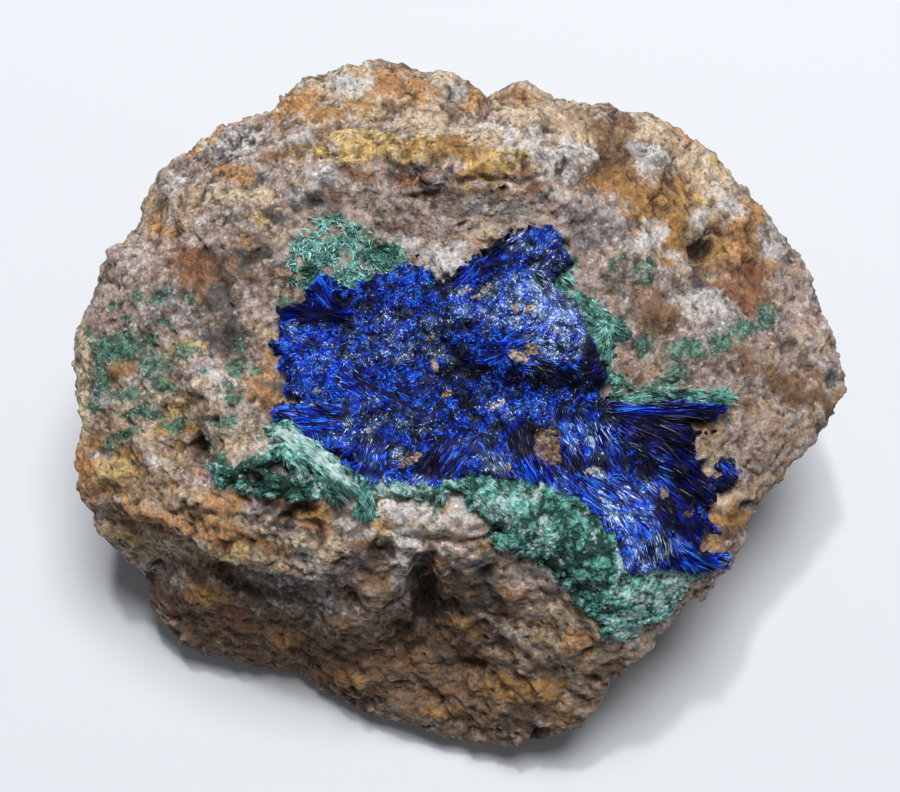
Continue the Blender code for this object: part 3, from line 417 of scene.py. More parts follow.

# How dark or pale the blue is: (x, y, half width, half height, turn, tone, frost). Tone runs from 0,
# nearly black, to 1, azure, and some nearly black patches are painted shadow. Frost is the share of
# whitish needles: painted glints.
BLUE_TONES = (
    (676, 436, 70, 40, 0, 0.16, 0.02), (676, 500, 34, 34, 0, 0.2, 0.02),
    (700, 562, 34, 12, -8, 0.22, 0.02), (600, 445, 34, 24, 0, 0.32, 0.15), (330, 312, 56, 9, 0, 0.08, 0.0),
    (545, 262, 26, 20, 0, 0.34, 0.1), (586, 352, 9, 32, 10, 0.1, 0.01), (560, 290, 30, 8, -38, 0.14, 0.02),
    (536, 315, 50, 40, -30, 0.62, 0.62), (300, 334, 24, 12, 15, 0.92, 0.38),
    (325, 368, 34, 24, 20, 0.8, 0.16), (408, 285, 14, 10, 0, 0.72, 0.05), (340, 300, 40, 18, 0, 0.4, 0.06),
    (400, 330, 50, 24, 0, 0.42, 0.22), (380, 352, 40, 14, 0, 0.36, 0.25), (466, 338, 9, 12, 0, 0.8, 0.1),
    (330, 290, 12, 14, 30, 0.66, 0.0), (313, 316, 34, 8, 0, 0.1, 0.0), (324, 291, 14, 15, 40, 0.68, 0.02),
    (328, 378, 14, 10, 0, 0.74, 0.08), (370, 392, 30, 13, 28, 0.7, 0.16),
    (384, 381, 16, 8, 25, 0.74, 0.04), (314, 397, 20, 10, 0, 0.34, 0.7),
    (306, 418, 26, 11, 10, 0.58, 0.05), (291, 424, 9, 5, 20, 0.9, 0.12), (341, 442, 9, 7, 0, 0.94, 0.22),
    (324, 435, 7, 6, 0, 0.72, 0.1), (374, 462, 22, 18, 0, 0.64, 0.08), (362, 424, 20, 20, 60, 0.46, 0.22),
    # the first patch, nearly black, is painted shadow
    (461, 366, 22, 20, 0, 0.1, 0.06), (436, 352, 16, 12, 0, 0.26, 0.25), (378, 412, 18, 8, 0, 0.2, 0.06),
    (420, 418, 26, 14, 0, 0.34, 0.28), (434, 466, 20, 13, 30, 0.1, 0.02),
    (459, 460, 14, 13, 30, 0.56, 0.06), (400, 455, 16, 10, 0, 0.3, 0.5), (424, 480, 16, 5, 0, 0.3, 0.3),
    # the last patch, nearly black, is painted shadow
    (495, 412, 15, 13, 0, 0.8, 0.35), (532, 408, 26, 15, 0, 0.74, 0.1), (524, 428, 18, 7, 0, 0.06, 0.0),
    (500, 459, 17, 12, 0, 0.66, 0.5), (527, 456, 14, 20, -60, 0.6, 0.04),
    (571, 430, 16, 12, 0, 0.78, 0.35), (597, 440, 16, 22, -40, 0.52, 0.45),
    # the second patch, nearly black, is painted shadow under the north sheaf's overhang
    (624, 448, 17, 13, 0, 0.1, 0.1), (538, 378, 36, 7, -4, 0.01, 0.0), (597, 363, 22, 12, 30, 0.12, 0.0),
    (573, 388, 5, 12, 0, 0.45, 0.0), (488, 270, 30, 12, 38, 0.44, 0.0), (478, 262, 26, 6, 38, 0.5, 0.0),
    (520, 244, 18, 12, 30, 0.34, 0.55), (547, 248, 10, 13, -30, 0.8, 0.18),
    (522, 262, 20, 9, 0, 0.32, 0.1), (536, 310, 38, 28, -30, 0.46, 0.9), (548, 330, 32, 26, 0, 0.5, 0.9),
    (500, 300, 28, 18, 0, 0.46, 0.55), (556, 300, 20, 12, -40, 0.56, 1.0),
    (548, 290, 20, 5, -40, 0.16, 0.05), (568, 330, 14, 30, 10, 0.6, 0.5),
    (500, 347, 32, 17, 27, 0.8, 0.04), (546, 369, 26, 5, 8, 0.4, 0.06), (562, 352, 12, 8, 0, 0.7, 0.3),
    (600, 490, 36, 14, -35, 0.66, 0.1), (586, 492, 26, 16, -40, 0.72, 0.06),
    (593, 471, 12, 5, -10, 0.3, 0.85), (612, 506, 22, 9, -30, 0.7, 0.85),
    (630, 507, 26, 22, -30, 0.88, 0.28), (649, 512, 9, 14, 0, 0.98, 0.25),
    (636, 552, 18, 18, 0, 0.88, 0.45), (642, 563, 11, 7, 0, 0.7, 0.9), (664, 542, 16, 20, -60, 0.56, 0.3),
    (700, 560, 28, 10, -10, 0.42, 0.03), (660, 415, 40, 9, 0, 0.2, 0.0), (626, 410, 18, 5, 10, 0.56, 0.04),
    (668, 436, 30, 18, -20, 0.17, 0.02), (672, 462, 22, 14, 0, 0.3, 0.08),
    (712, 483, 20, 13, 0, 0.34, 0.02), (680, 505, 22, 22, 0, 0.14, 0.02), (660, 475, 12, 10, 0, 0.4, 0.15),
    (637, 470, 14, 10, -30, 0.36, 0.3), (700, 412, 26, 6, 0, 0.22, 0.0), (728, 463, 9, 16, -45, 0.62, 0.3),
    (682, 508, 30, 24, 0, 0.12, 0.02), (700, 480, 30, 14, 0, 0.26, 0.02),
    (640, 462, 16, 14, 0, 0.12, 0.04), (462, 304, 20, 18, 0, 0.64, 0.32), (548, 252, 14, 18, 0, 0.72, 0.3),
    (532, 308, 34, 26, -30, 0.58, 1.0), (463, 391, 17, 15, 0, 0.14, 0.04), (428, 424, 22, 13, 0, 0.2, 0.1),
    (494, 424, 15, 11, 0, 0.36, 0.08), (324, 396, 22, 9, 10, 0.52, 0.06),
    (375, 452, 15, 12, 0, 0.74, 0.12), (464, 452, 15, 13, 0, 0.82, 0.15), (398, 483, 36, 8, 0, 0.66, 0.85),
    (555, 485, 15, 13, 0, 0.88, 0.35), (584, 456, 11, 13, 0, 0.55, 0.05),
    (608, 452, 13, 13, -40, 0.34, 0.15), (614, 512, 18, 10, -30, 0.98, 0.55),
    (656, 426, 36, 11, 8, 0.07, 0.0), (676, 484, 15, 12, 0, 0.12, 0.0),
)

# Which way the blue needles lie: (root x, root y, tip x, tip y, half width, length in millimetres,
# fan). Fan is how far they spread from that way.
BLUE_STREAMS = (
    (452, 280, 504, 238, 13, 2.6, 0.03), (505, 264, 524, 240, 7, 0.9, 0.25),
    (536, 268, 556, 238, 7, 0.9, 0.3), (530, 280, 566, 304, 7, 2.0, 0.14),
    (578, 318, 592, 350, 5, 1.4, 0.16), (474, 366, 526, 338, 9, 2.4, 0.16),
    (520, 362, 574, 374, 6, 1.8, 0.2), (580, 380, 618, 350, 9, 2.4, 0.14),
    (574, 378, 572, 396, 4, 1.2, 0.2), (337, 308, 312, 278, 10, 1.5, 0.2),
    (346, 317, 281, 314, 9, 3.0, 0.05), (312, 344, 282, 330, 6, 0.8, 0.35),
    (300, 352, 272, 352, 5, 0.9, 0.3), (300, 384, 266, 386, 4, 1.1, 0.25),
    (344, 376, 404, 404, 8, 1.0, 0.3), (336, 418, 284, 416, 11, 1.4, 0.16),
    (330, 424, 290, 432, 6, 1.2, 0.16), (374, 444, 372, 480, 13, 1.1, 0.22),
    (446, 446, 424, 482, 11, 1.7, 0.16), (470, 446, 448, 474, 9, 1.2, 0.2),
    (484, 446, 508, 474, 9, 1.3, 0.25), (514, 434, 540, 478, 11, 2.6, 0.1),
    (556, 412, 582, 470, 7, 1.8, 0.2), (584, 420, 614, 462, 10, 2.2, 0.12),
    (612, 420, 640, 440, 6, 2.6, 0.1), (612, 409, 690, 405, 9, 3.2, 0.08),
    (640, 412, 722, 408, 9, 3.0, 0.09), (630, 424, 700, 440, 10, 2.6, 0.12),
    (640, 440, 690, 470, 12, 2.2, 0.2), (660, 470, 706, 494, 10, 1.8, 0.25),
    (694, 480, 736, 496, 9, 1.4, 0.28), (660, 490, 690, 530, 12, 1.8, 0.24),
    (714, 450, 744, 476, 10, 2.2, 0.06), (562, 468, 610, 506, 11, 2.4, 0.14),
    (582, 470, 630, 494, 7, 2.4, 0.12), (600, 496, 650, 520, 10, 2.2, 0.14),
    (622, 510, 650, 556, 9, 1.8, 0.22), (654, 516, 680, 566, 10, 3.0, 0.09),
    (672, 548, 730, 566, 9, 2.2, 0.16), (640, 470, 668, 500, 7, 2.0, 0.2),
    (620, 548, 634, 566, 7, 1.0, 0.35),
)

# How dark or pale the green is, as for the blue: tone runs from 0, dark green, to 1, pale mint, and
# the last number is the share of whitish fibres.
GREEN_TONES = (
    (300, 468, 30, 9, -12, 0.35, 0.85), (520, 498, 40, 22, -20, 0.55, 0.45),
    (590, 560, 40, 44, -30, 0.22, 0.02), (650, 600, 50, 34, 30, 0.56, 0.55),
    (400, 492, 50, 10, 0, 0.55, 0.55), (490, 478, 30, 14, 0, 0.36, 0.05),
    (340, 250, 60, 40, 0, 0.85, 0.15), (330, 236, 14, 12, 0, 1.0, 0.2), (374, 250, 14, 12, 0, 0.34, 0.02),
    (352, 280, 18, 9, 0, 0.72, 0.12), (306, 276, 14, 12, 0, 0.4, 0.02),
    (306, 452, 44, 20, -35, 0.76, 0.35), (318, 452, 40, 7, -42, 0.95, 0.6),
    (262, 474, 50, 14, 0, 0.2, 0.04), (296, 485, 36, 8, 0, 0.14, 0.02), (286, 443, 15, 14, 0, 0.7, 0.5),
    (326, 468, 40, 9, -43, 0.76, 0.3), (322, 456, 34, 5, -42, 0.86, 0.85),
    (334, 484, 20, 8, -20, 0.3, 0.05), (366, 488, 9, 22, 0, 0.55, 0.1), (410, 492, 34, 11, 0, 0.6, 0.4),
    (439, 496, 8, 14, 0, 0.46, 0.05), (478, 482, 22, 16, 0, 0.44, 0.06), (470, 462, 12, 6, 0, 0.62, 0.1),
    (500, 505, 22, 18, 0, 0.62, 0.35), (530, 505, 20, 22, 0, 0.48, 0.2), (552, 482, 14, 12, 0, 0.6, 0.15),
    (560, 510, 22, 18, 0, 0.4, 0.08), (580, 540, 26, 22, -40, 0.24, 0.02),
    (604, 545, 16, 26, -20, 0.2, 0.02), (606, 522, 13, 8, -40, 0.6, 0.2),
    (618, 556, 7, 24, -10, 0.62, 0.25), (590, 580, 24, 16, -30, 0.26, 0.04),
    (600, 604, 22, 18, 0, 0.36, 0.12), (640, 600, 44, 30, 30, 0.62, 0.36),
    (652, 580, 22, 12, 0, 0.64, 0.36), (620, 640, 20, 16, 0, 0.66, 0.45), (664, 606, 18, 22, 0, 0.6, 0.4),
    (560, 262, 12, 16, -30, 0.6, 0.12), (590, 300, 30, 12, -45, 0.5, 0.14),
    (610, 320, 22, 10, -40, 0.66, 0.2), (598, 352, 12, 18, 35, 0.42, 0.06),
    (620, 346, 14, 16, 0, 0.38, 0.05), (668, 397, 60, 7, 2, 0.52, 0.12), (640, 400, 20, 6, 0, 0.64, 0.25),
    (716, 402, 16, 6, 0, 0.42, 0.05),
)

# Which way the green fibres lie, as for the blue.
GREEN_STREAMS = (
    (562, 276, 596, 308, 12, 1.2, 0.3), (590, 300, 626, 324, 12, 1.2, 0.3),
    (606, 340, 588, 372, 12, 1.2, 0.3), (612, 398, 700, 396, 9, 1.1, 0.25),
    (690, 398, 728, 404, 8, 1.1, 0.3), (566, 268, 548, 246, 8, 0.9, 0.35),
    (366, 470, 368, 508, 9, 2.2, 0.15), (439, 480, 440, 500, 8, 1.2, 0.25),
    (292, 436, 350, 490, 15, 2.4, 0.12), (470, 468, 500, 500, 16, 1.6, 0.3),
)


def colour_property(name, description, default):
    return bpy.props.FloatVectorProperty(
        name=name, description=description, subtype="COLOR", default=default, min=0.0, max=1.0,
    )


def length_property(name, description, default, least):
    return bpy.props.FloatProperty(
        name=name, description=description, default=default, min=least, unit="LENGTH",
    )


def power_property(name, description, default):
    return bpy.props.FloatProperty(
        name=name, description=description, default=default, min=0.0, unit="POWER",
    )


class StoneSettings(bpy.types.PropertyGroup):
    """Sizes and colours of the stone."""

    grid: length_property(
        "Surface grid", "Spacing of the points that carry the broken surface", 0.00025, 0.0002,
    )
    triangles: bpy.props.IntProperty(
        name="Triangles", description="Triangles left in the finished surface", default=196000,
        min=10000,
    )
    roughness_height: length_property(
        "Roughness", "Height of the uneven broken surface", 0.00042, 0.0,
    )
    facet_size: length_property("Facet size", "Width of the larger flat breaks", 0.0034, 0.0005)
    lump_size: length_property(
        "Lump size", "Width of the lumps between the breaks and the grains", 0.0017, 0.0005,
    )
    grain_size: length_property(
        "Grain size", "Width of the grains that stand out of the surface", 0.0009, 0.0003,
    )
    crumb_rise: bpy.props.FloatProperty(
        name="Rise of bits", description="Height of a bit of stone as a share of its half width",
        default=0.3, min=0.0,
    )
    pink: colour_property("Pinkish stone", "Main colour of the stone", (0.48, 0.342, 0.285))
    cream: colour_property("Cream", "Cream-coloured quartz", (0.71, 0.54, 0.355))
    tan: colour_property("Tan", "Light brown parts", (0.46, 0.31, 0.185))
    yellow: colour_property("Yellow", "Yellow-stained quartz", (0.75, 0.49, 0.15))
    orange: colour_property("Orange", "Orange iron stain", (0.56, 0.27, 0.085))
    ochre: colour_property("Ochre", "Yellow-brown limonite", (0.43, 0.215, 0.052))
    rust: colour_property("Rust", "Red-brown iron oxide", (0.27, 0.105, 0.04))
    brown: colour_property("Brown", "Brown weathered parts", (0.24, 0.13, 0.062))
    earth: colour_property("Earth", "Darkest brown parts", (0.11, 0.06, 0.027))
    mauve: colour_property("Mauve", "Brownish purple parts", (0.39, 0.27, 0.235))
    grey: colour_property("Grey quartz", "Smoky quartz", (0.25, 0.23, 0.235))
    # dark grey spots; those in the carved hollows are partly painted shade
    dark: colour_property("Dark grey", "Dark grey mineral spots", (0.06, 0.06, 0.068))
    white: colour_property("White quartz", "White quartz", (0.72, 0.68, 0.66))
    # near-black in the crevices: painted shade, with dirt
    crevice_shade: colour_property("Crevices", "Dirt deep in the crevices", (0.022, 0.018, 0.015))
    film: colour_property("Green film", "Thin green film on the stone", (0.15, 0.36, 0.245))
    film_dark: colour_property(
        "Dark green film", "Green film in its darker spots", (0.025, 0.11, 0.075),
    )


class LinariteSettings(bpy.types.PropertyGroup):
    """Sizes and colours of the blue crystals."""

    needle_width: length_property("Needle width", "Width of a blue needle", 0.000058, 0.00002)
    felt_length: length_property(
        "Felt needle length", "Length of the short needles of the felt", 0.00044, 0.0002,
    )
    sprays: bpy.props.FloatProperty(
        name="Sprays", description="Sprays of needles in a square millimetre", default=24.0, min=1.0,
    )
    needles_per_spray: bpy.props.IntProperty(
        name="Needles per spray", description="Needles that grow from one root", default=5, min=1,
    )
    black: colour_property("Deepest blue", "Colour of the darkest crystals", (0.0016, 0.0016, 0.011))
    navy: colour_property("Navy", "Colour of the dark crystals", (0.0022, 0.0028, 0.075))
    royal: colour_property("Royal blue", "Colour of most of the crystals", (0.0035, 0.016, 0.74))
    azure: colour_property("Azure", "Colour of the palest blue crystals", (0.035, 0.27, 0.98))
    # the two palest colours below are painted glints: pale needles that stand in for light glinting off
    # the crystals
    frost: colour_property("Frost", "Colour of the pale crystals", (0.42, 0.67, 1.0))
    white: colour_property("White tips", "Colour of the whitest crystals", (0.72, 0.80, 0.92))


class GreenSettings(bpy.types.PropertyGroup):
    """Sizes and colours of the green fibres."""

    fibre_width: length_property("Fibre width", "Width of a green fibre", 0.00007, 0.00002)
    fibre_length: length_property("Fibre length", "Length of the fibres", 0.00042, 0.0001)
    sprays: bpy.props.FloatProperty(
        name="Sprays", description="Tufts of fibres in a square millimetre", default=20.0, min=1.0,
    )
    fibres_per_spray: bpy.props.IntProperty(
        name="Fibres per tuft", description="Fibres that grow from one root", default=5, min=1,
    )
    # the green is darkest in its hollows as painted shade
    dark: colour_property("Dark green", "Colour of the green in its hollows", (0.007, 0.04, 0.028))
    mid: colour_property("Green", "Colour of most of the green", (0.095, 0.31, 0.265))
    mint: colour_property("Mint", "Colour of the pale green fibres", (0.4, 0.72, 0.66))
    frost: colour_property("Whitish green", "Colour of the palest fibres", (0.44, 0.5, 0.51))


class StageSettings(bpy.types.PropertyGroup):
    """Floor and lights."""

    floor_colour: colour_property("Floor", "Colour of the floor", (0.52, 0.54, 0.57))
    floor_size: length_property("Floor size", "Width of the floor", 1.2, 0.2)
    key_power: power_property("Main light", "Power of the large soft light", 4.5)
    glint_power: power_property(
        "Small light", "Power of the small light that makes the crystals glint", 1.3,
    )
    sky_strength: bpy.props.FloatProperty(
        name="Surrounding light", description="Strength of the light from all sides",
        default=0.19, min=0.0,
    )


def smooth(value, low, high):
    """0 below low, 1 above high, with a smooth rise between."""
    share = np.clip((value - low) / (high - low), 0.0, 1.0)
    return share * share * (3.0 - 2.0 * share)


def picture_places(points):
    """Where points fall in the picture of the crystal face, in pixels from its top left corner."""
    offset = points - FACE_CENTRE
    depth = VIEW_HEIGHT - offset @ OUT
    return np.column_stack((
        PICTURE_MIDDLE[0] + FOCAL_PIXELS * (offset @ ACROSS) / depth,
        PICTURE_MIDDLE[1] - FOCAL_PIXELS * (offset @ UP_FACE) / depth,
    ))


def scaled_vectors(points, size, seed):
    """Points in units of size, moved to a part of the noise of their own by the seed."""
    shifted = points / size + np.array((17.3, 5.9, 11.1)) * seed
    return map(Vector, shifted.tolist())


def wavy(points, size, seed, octaves=1):
    """Smooth noise at points, about -1 to 1, whose largest lumps are about size across."""
    return np.array([noise.fractal(p, 0.75, 2.1, octaves) for p in scaled_vectors(points, size, seed)])


def swirl(points, size, seed):
    """Smooth noise in three directions, which bends straight breaks and stirs the needles."""
    return np.column_stack([wavy(points, size, seed + axis, 2) for axis in range(3)])


def facets(points, size, seed):
    """(height, edge, value) of a surface broken into flat tilted cells about size across.

    Height is in cell sizes. Edge is 0 on the borders of cells. Value is one random number a cell.
    """
    found = np.empty((len(points), 3))
    for number, place in enumerate(scaled_vectors(points, size, seed)):
        distances, seeds = noise.voronoi(place)
        tilt = noise.cell_vector(seeds[0] * 41.7) - Vector((0.5, 0.5, 0.5))
        found[number] = (
            (place - seeds[0]).dot(tilt), distances[1] - distances[0], noise.cell(seeds[0] * 23.3),
        )
    return found.T


def balls(points, size, seed):
    """Height of a surface of rounded cushions: about 0.8 on their tops, about -0.6 between them."""
    found = [noise.voronoi(place)[0][0] for place in scaled_vectors(points, size, seed)]
    return 0.85 - 2.1 * np.array(found) ** 1.5


def in_ellipse(places, x, y, half_width, half_height, turn=0):
    """1 in the middle of an ellipse, 0.5 on its outline and 0 well outside it."""
    angle = math.radians(turn)
    right, down = places[:, 0] - x, places[:, 1] - y
    one = (right * math.cos(angle) - down * math.sin(angle)) / half_width
    two = (right * math.sin(angle) + down * math.cos(angle)) / half_height
    return np.clip(1.0 - 0.5 * np.hypot(one, two), 0.0, 1.0)


def turned_on_face(ways, angles):
    """Directions turned on the crystal face, seen from outside, by an angle each."""
    return ways * np.cos(angles)[:, None] + np.cross(OUT, ways) * np.sin(angles)[:, None]


def bump_heights(places, bumps):
    """Height, in metres, of rounded bumps or hollows at places in the picture."""
    total = np.zeros(len(places))
    for x, y, half_width, half_height, height in bumps:
        away = np.hypot((places[:, 0] - x) / half_width, (places[:, 1] - y) / half_height)
        total += height * MM * (1.0 - smooth(away, 0.35, 1.25))
    return total


def distance_to_line(places, line):
    """Distance in pixels of each place from a bent line."""
    best = np.full(len(places), 1e9)
    for start, end in zip(np.array(line[:-1], float), np.array(line[1:], float)):
        along = end - start
        share = np.clip((places - start) @ along / (along @ along), 0.0, 1.0)
        best = np.minimum(best, np.linalg.norm(places - start - share[:, None] * along, axis=1))
    return best


def seam_heights(places):
    """Height, in metres, of the steps and cracks at places in the picture."""
    total = np.zeros(len(places))
    for line, half_width, height in SEAMS:
        away = distance_to_line(places, line) / half_width
        total += height * MM * np.exp(-away * away * 1.4)
    return total


def points_and_normals(mesh):
    count = len(mesh.vertices)
    points = np.empty(count * 3, np.float32)
    normals = np.empty(count * 3, np.float32)
    mesh.vertices.foreach_get("co", points)
    mesh.vertex_normals.foreach_get("vector", normals)
    return points.reshape(-1, 3).astype(float), normals.reshape(-1, 3).astype(float)


def triangles_of(mesh):
    mesh.calc_loop_triangles()
    faces = np.empty(len(mesh.loop_triangles) * 3, np.int32)
    mesh.loop_triangles.foreach_get("vertices", faces)
    return faces.reshape(-1, 3)


def set_points(mesh, points):
    mesh.vertices.foreach_set("co", points.astype(np.float32).ravel())
    mesh.update()


def set_attribute(mesh, name, values, kind="FLOAT"):
    fields = {"FLOAT": "value", "INT": "value", "FLOAT_VECTOR": "vector", "FLOAT_COLOR": "color"}
    attribute = mesh.attributes.new(name, kind, "POINT")
    attribute.data.foreach_set(fields[kind], np.asarray(values).ravel())


def get_attribute(mesh, name):
    """The values of an attribute that has one number a point."""
    attribute = mesh.attributes[name]
    values = np.empty(len(attribute.data), np.int32 if attribute.data_type == "INT" else np.float32)
    attribute.data.foreach_get("value", values)
    return values


def new_object(name, mesh):
    obj = bpy.data.objects.new(name, mesh)
    bpy.context.scene.collection.objects.link(obj)
    return obj


def merged_mesh(node, name):
    """A copy of a node's mesh with its loose triangles joined at their corners."""
    shape = bmesh.new()
    shape.from_mesh(frame["nodes"][node].data)
    bmesh.ops.remove_doubles(shape, verts=shape.verts, dist=1e-6)
    mesh = bpy.data.meshes.new(name)
    shape.to_mesh(mesh)
    shape.free()
    return mesh


def apply_modifiers(obj):
    """Replaces the object's mesh by what its modifiers make of it."""
    graph = bpy.context.evaluated_depsgraph_get()
    made = bpy.data.meshes.new_from_object(obj.evaluated_get(graph))
    old = obj.data
    obj.modifiers.clear()
    obj.data = made
    bpy.data.meshes.remove(old)


def search_tree(node):
    """A tree of the node's faces, for rays to meet."""
    shape = frame["nodes"][node].data
    points = [vertex.co.copy() for vertex in shape.vertices]
    return BVHTree.FromPolygons(points, [tuple(face.vertices) for face in shape.polygons])


def crust_cover(points):
    """(which crust covers each point, how thick it is there): -1 and 0 where there is none.

    The crusts' outlines are made ragged by looking a little to one side of each point.
    """
    right, up = (wavy(points, 0.8 * MM, seed, 3)[:, None] for seed in (8, 9))
    points = points + 0.55 * MM * (right * ACROSS + up * UP_FACE)
    label = np.full(len(points), -1, np.int32)
    thickness = np.zeros(len(points))
    down = Vector(-OUT)
    start_height = 12.0 * MM
    margin = 3.0 * MM
    for number, node in enumerate(CRUST_NODES):
        tree = search_tree(node)
        low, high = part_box(node)
        near = np.all((points > np.array(low) - margin) & (points < np.array(high) + margin), axis=1)
        for index in np.nonzero(near)[0]:
            start = Vector(points[index] + OUT * start_height)
            hit, _, _, distance = tree.ray_cast(start, down, start_height * 1.2)
            if hit is not None and start_height - distance > thickness[index]:
                label[index] = number
                thickness[index] = start_height - distance
    return label, thickness


def neighbour_edges(mesh):
    edges = np.empty(len(mesh.edges) * 2, np.int32)
    mesh.edges.foreach_get("vertices", edges)
    return edges.reshape(-1, 2)


def close_gaps(label, thickness, edges, rounds):
    """Spreads the crusts over the narrow gaps between them."""
    label, thickness = label.copy(), thickness.copy()
    for _ in range(rounds):
        for one, other in ((0, 1), (1, 0)):
            grows = (label[edges[:, one]] >= 0) & (label[edges[:, other]] < 0)
            source, target = edges[grows, one], edges[grows, other]
            label[target] = label[source]
            thickness[target] = thickness[source]
    return label, thickness


def steps_from_edge(inside, edges, most):
    """How many edges each inside point lies from the nearest outside one, up to most."""
    steps = np.where(inside, most, 0)
    reached = ~inside
    for step in range(1, most):
        touched = np.zeros(len(inside), bool)
        touched[edges[reached[edges[:, 0]], 1]] = True
        touched[edges[reached[edges[:, 1]], 0]] = True
        fresh = touched & ~reached
        steps[fresh] = step
        reached |= fresh
    return steps


def evened(values, edges, rounds):
    """Values averaged with their neighbours' a number of times."""
    count = len(values)
    weight = 1.0 + np.bincount(edges.ravel(), minlength=count)
    for _ in range(rounds):
        total = values.copy()
        total += np.bincount(edges[:, 0], weights=values[edges[:, 1]], minlength=count)
        total += np.bincount(edges[:, 1], weights=values[edges[:, 0]], minlength=count)
        values = total / weight
    return values


def add_node(tree, kind, inputs=None, **settings):
    """A node with its settings, and its inputs given as values or as the sockets that feed them."""
    node = tree.nodes.new(kind)
    for name, value in settings.items():
        setattr(node, name, value)
    for key, value in (inputs or {}).items():
        if isinstance(value, bpy.types.NodeSocket):
            tree.links.new(value, node.inputs[key])
        else:
            node.inputs[key].default_value = value
    return node


def math_node(tree, operation, *values, use_clamp=False):
    return add_node(
        tree, "ShaderNodeMath", dict(enumerate(values)), operation=operation, use_clamp=use_clamp,
    ).outputs[0]


def new_group(name, kind, inputs, outputs):
    """A node group with sockets given as (name, socket type, default). Returns (tree, input node)."""
    tree = bpy.data.node_groups.new(name, kind)
    for socket_name, socket_type, default in inputs:
        socket = tree.interface.new_socket(socket_name, in_out="INPUT", socket_type=socket_type)
        if default is not None:
            socket.default_value = default
    for socket_name, socket_type in outputs:
        tree.interface.new_socket(socket_name, in_out="OUTPUT", socket_type=socket_type)
    return tree, tree.nodes.new("NodeGroupInput")


def vector_node(tree, operation, *vectors, scale=None):
    """The result of a vector operation on values or sockets."""
    inputs = dict(enumerate(vectors))
    if scale is not None:
        inputs["Scale"] = scale
    node = add_node(tree, "ShaderNodeVectorMath", inputs, operation=operation)
    return node.outputs["Value" if operation == "DOT_PRODUCT" else "Vector"]


def noise_node(tree, where, scale, detail, roughness=0.5):
    return add_node(
        tree, "ShaderNodeTexNoise",
        {"Vector": where, "Scale": scale, "Detail": detail, "Roughness": roughness},
    )


def bump_node(tree, strength, distance, height, **normal):
    inputs = {"Strength": strength, "Distance": distance, "Height": height, **normal}
    return add_node(tree, "ShaderNodeBump", inputs).outputs[0]


def grain_group():
    """Shader group: the crystal grains of broken stone, as random tones and tilted facets."""
    if "crystal_grain" in bpy.data.node_groups:
        return bpy.data.node_groups["crystal_grain"]
    tree, given = new_group(
        "crystal_grain", "ShaderNodeTree",
        [("Vector", "NodeSocketVector", None), ("Grains per Metre", "NodeSocketFloat", 2500.0)],
        [(name, "NodeSocketFloat") for name in ("First", "Second", "Third", "Height")],
    )
    place, grains = given.outputs["Vector"], given.outputs["Grains per Metre"]
    middle = (0.5, 0.5, 0.5)
    clouds = noise_node(tree, place, math_node(tree, "MULTIPLY", grains, 1.6), 2.0)
    wobble = vector_node(tree, "SUBTRACT", clouds.outputs["Color"], middle)
    wobble = vector_node(tree, "SCALE", wobble, scale=math_node(tree, "DIVIDE", 0.9, grains))
    where = vector_node(tree, "ADD", place, wobble)
    cells = add_node(tree, "ShaderNodeTexVoronoi", {"Vector": where, "Scale": grains})
    tones = add_node(tree, "ShaderNodeSeparateColor", {0: cells.outputs["Color"]})
    tilt = vector_node(tree, "SUBTRACT", cells.outputs["Color"], middle)
    offset = vector_node(tree, "SUBTRACT", where, cells.outputs["Position"])
    slope = vector_node(tree, "DOT_PRODUCT", offset, tilt)
    add_node(
        tree, "NodeGroupOutput",
        {
            "First": tones.outputs[0], "Second": tones.outputs[1], "Third": tones.outputs[2],
            "Height": math_node(tree, "MULTIPLY", slope, grains),
        },
    )
    return tree


def grain_node(tree, where, size):
    """The outputs of the grain group on grains of a size."""
    return add_node(
        tree, "ShaderNodeGroup", {"Vector": where, "Grains per Metre": 1.0 / size},
        node_tree=grain_group(),
    ).outputs


def new_material(name):
    """(material, node tree, Principled shader) with an empty material otherwise."""
    material = bpy.data.materials.new(name)
    material.use_nodes = True
    tree = material.node_tree
    tree.nodes.clear()
    shader = tree.nodes.new("ShaderNodeBsdfPrincipled")
    add_node(tree, "ShaderNodeOutputMaterial", {"Surface": shader.outputs[0]})
    return material, tree, shader


def object_place(tree):
    return add_node(tree, "ShaderNodeTexCoord").outputs["Object"]


def attribute_value(tree, name):
    return add_node(tree, "ShaderNodeAttribute", attribute_name=name).outputs["Fac"]


def mix_colours(tree, factor, first, second, blend="MIX"):
    node = add_node(
        tree, "ShaderNodeMix", {0: factor, 6: first, 7: second}, data_type="RGBA", blend_type=blend,
    )
    return node.outputs[2]


def opaque(colour):
    return (*colour[:3], 1.0)


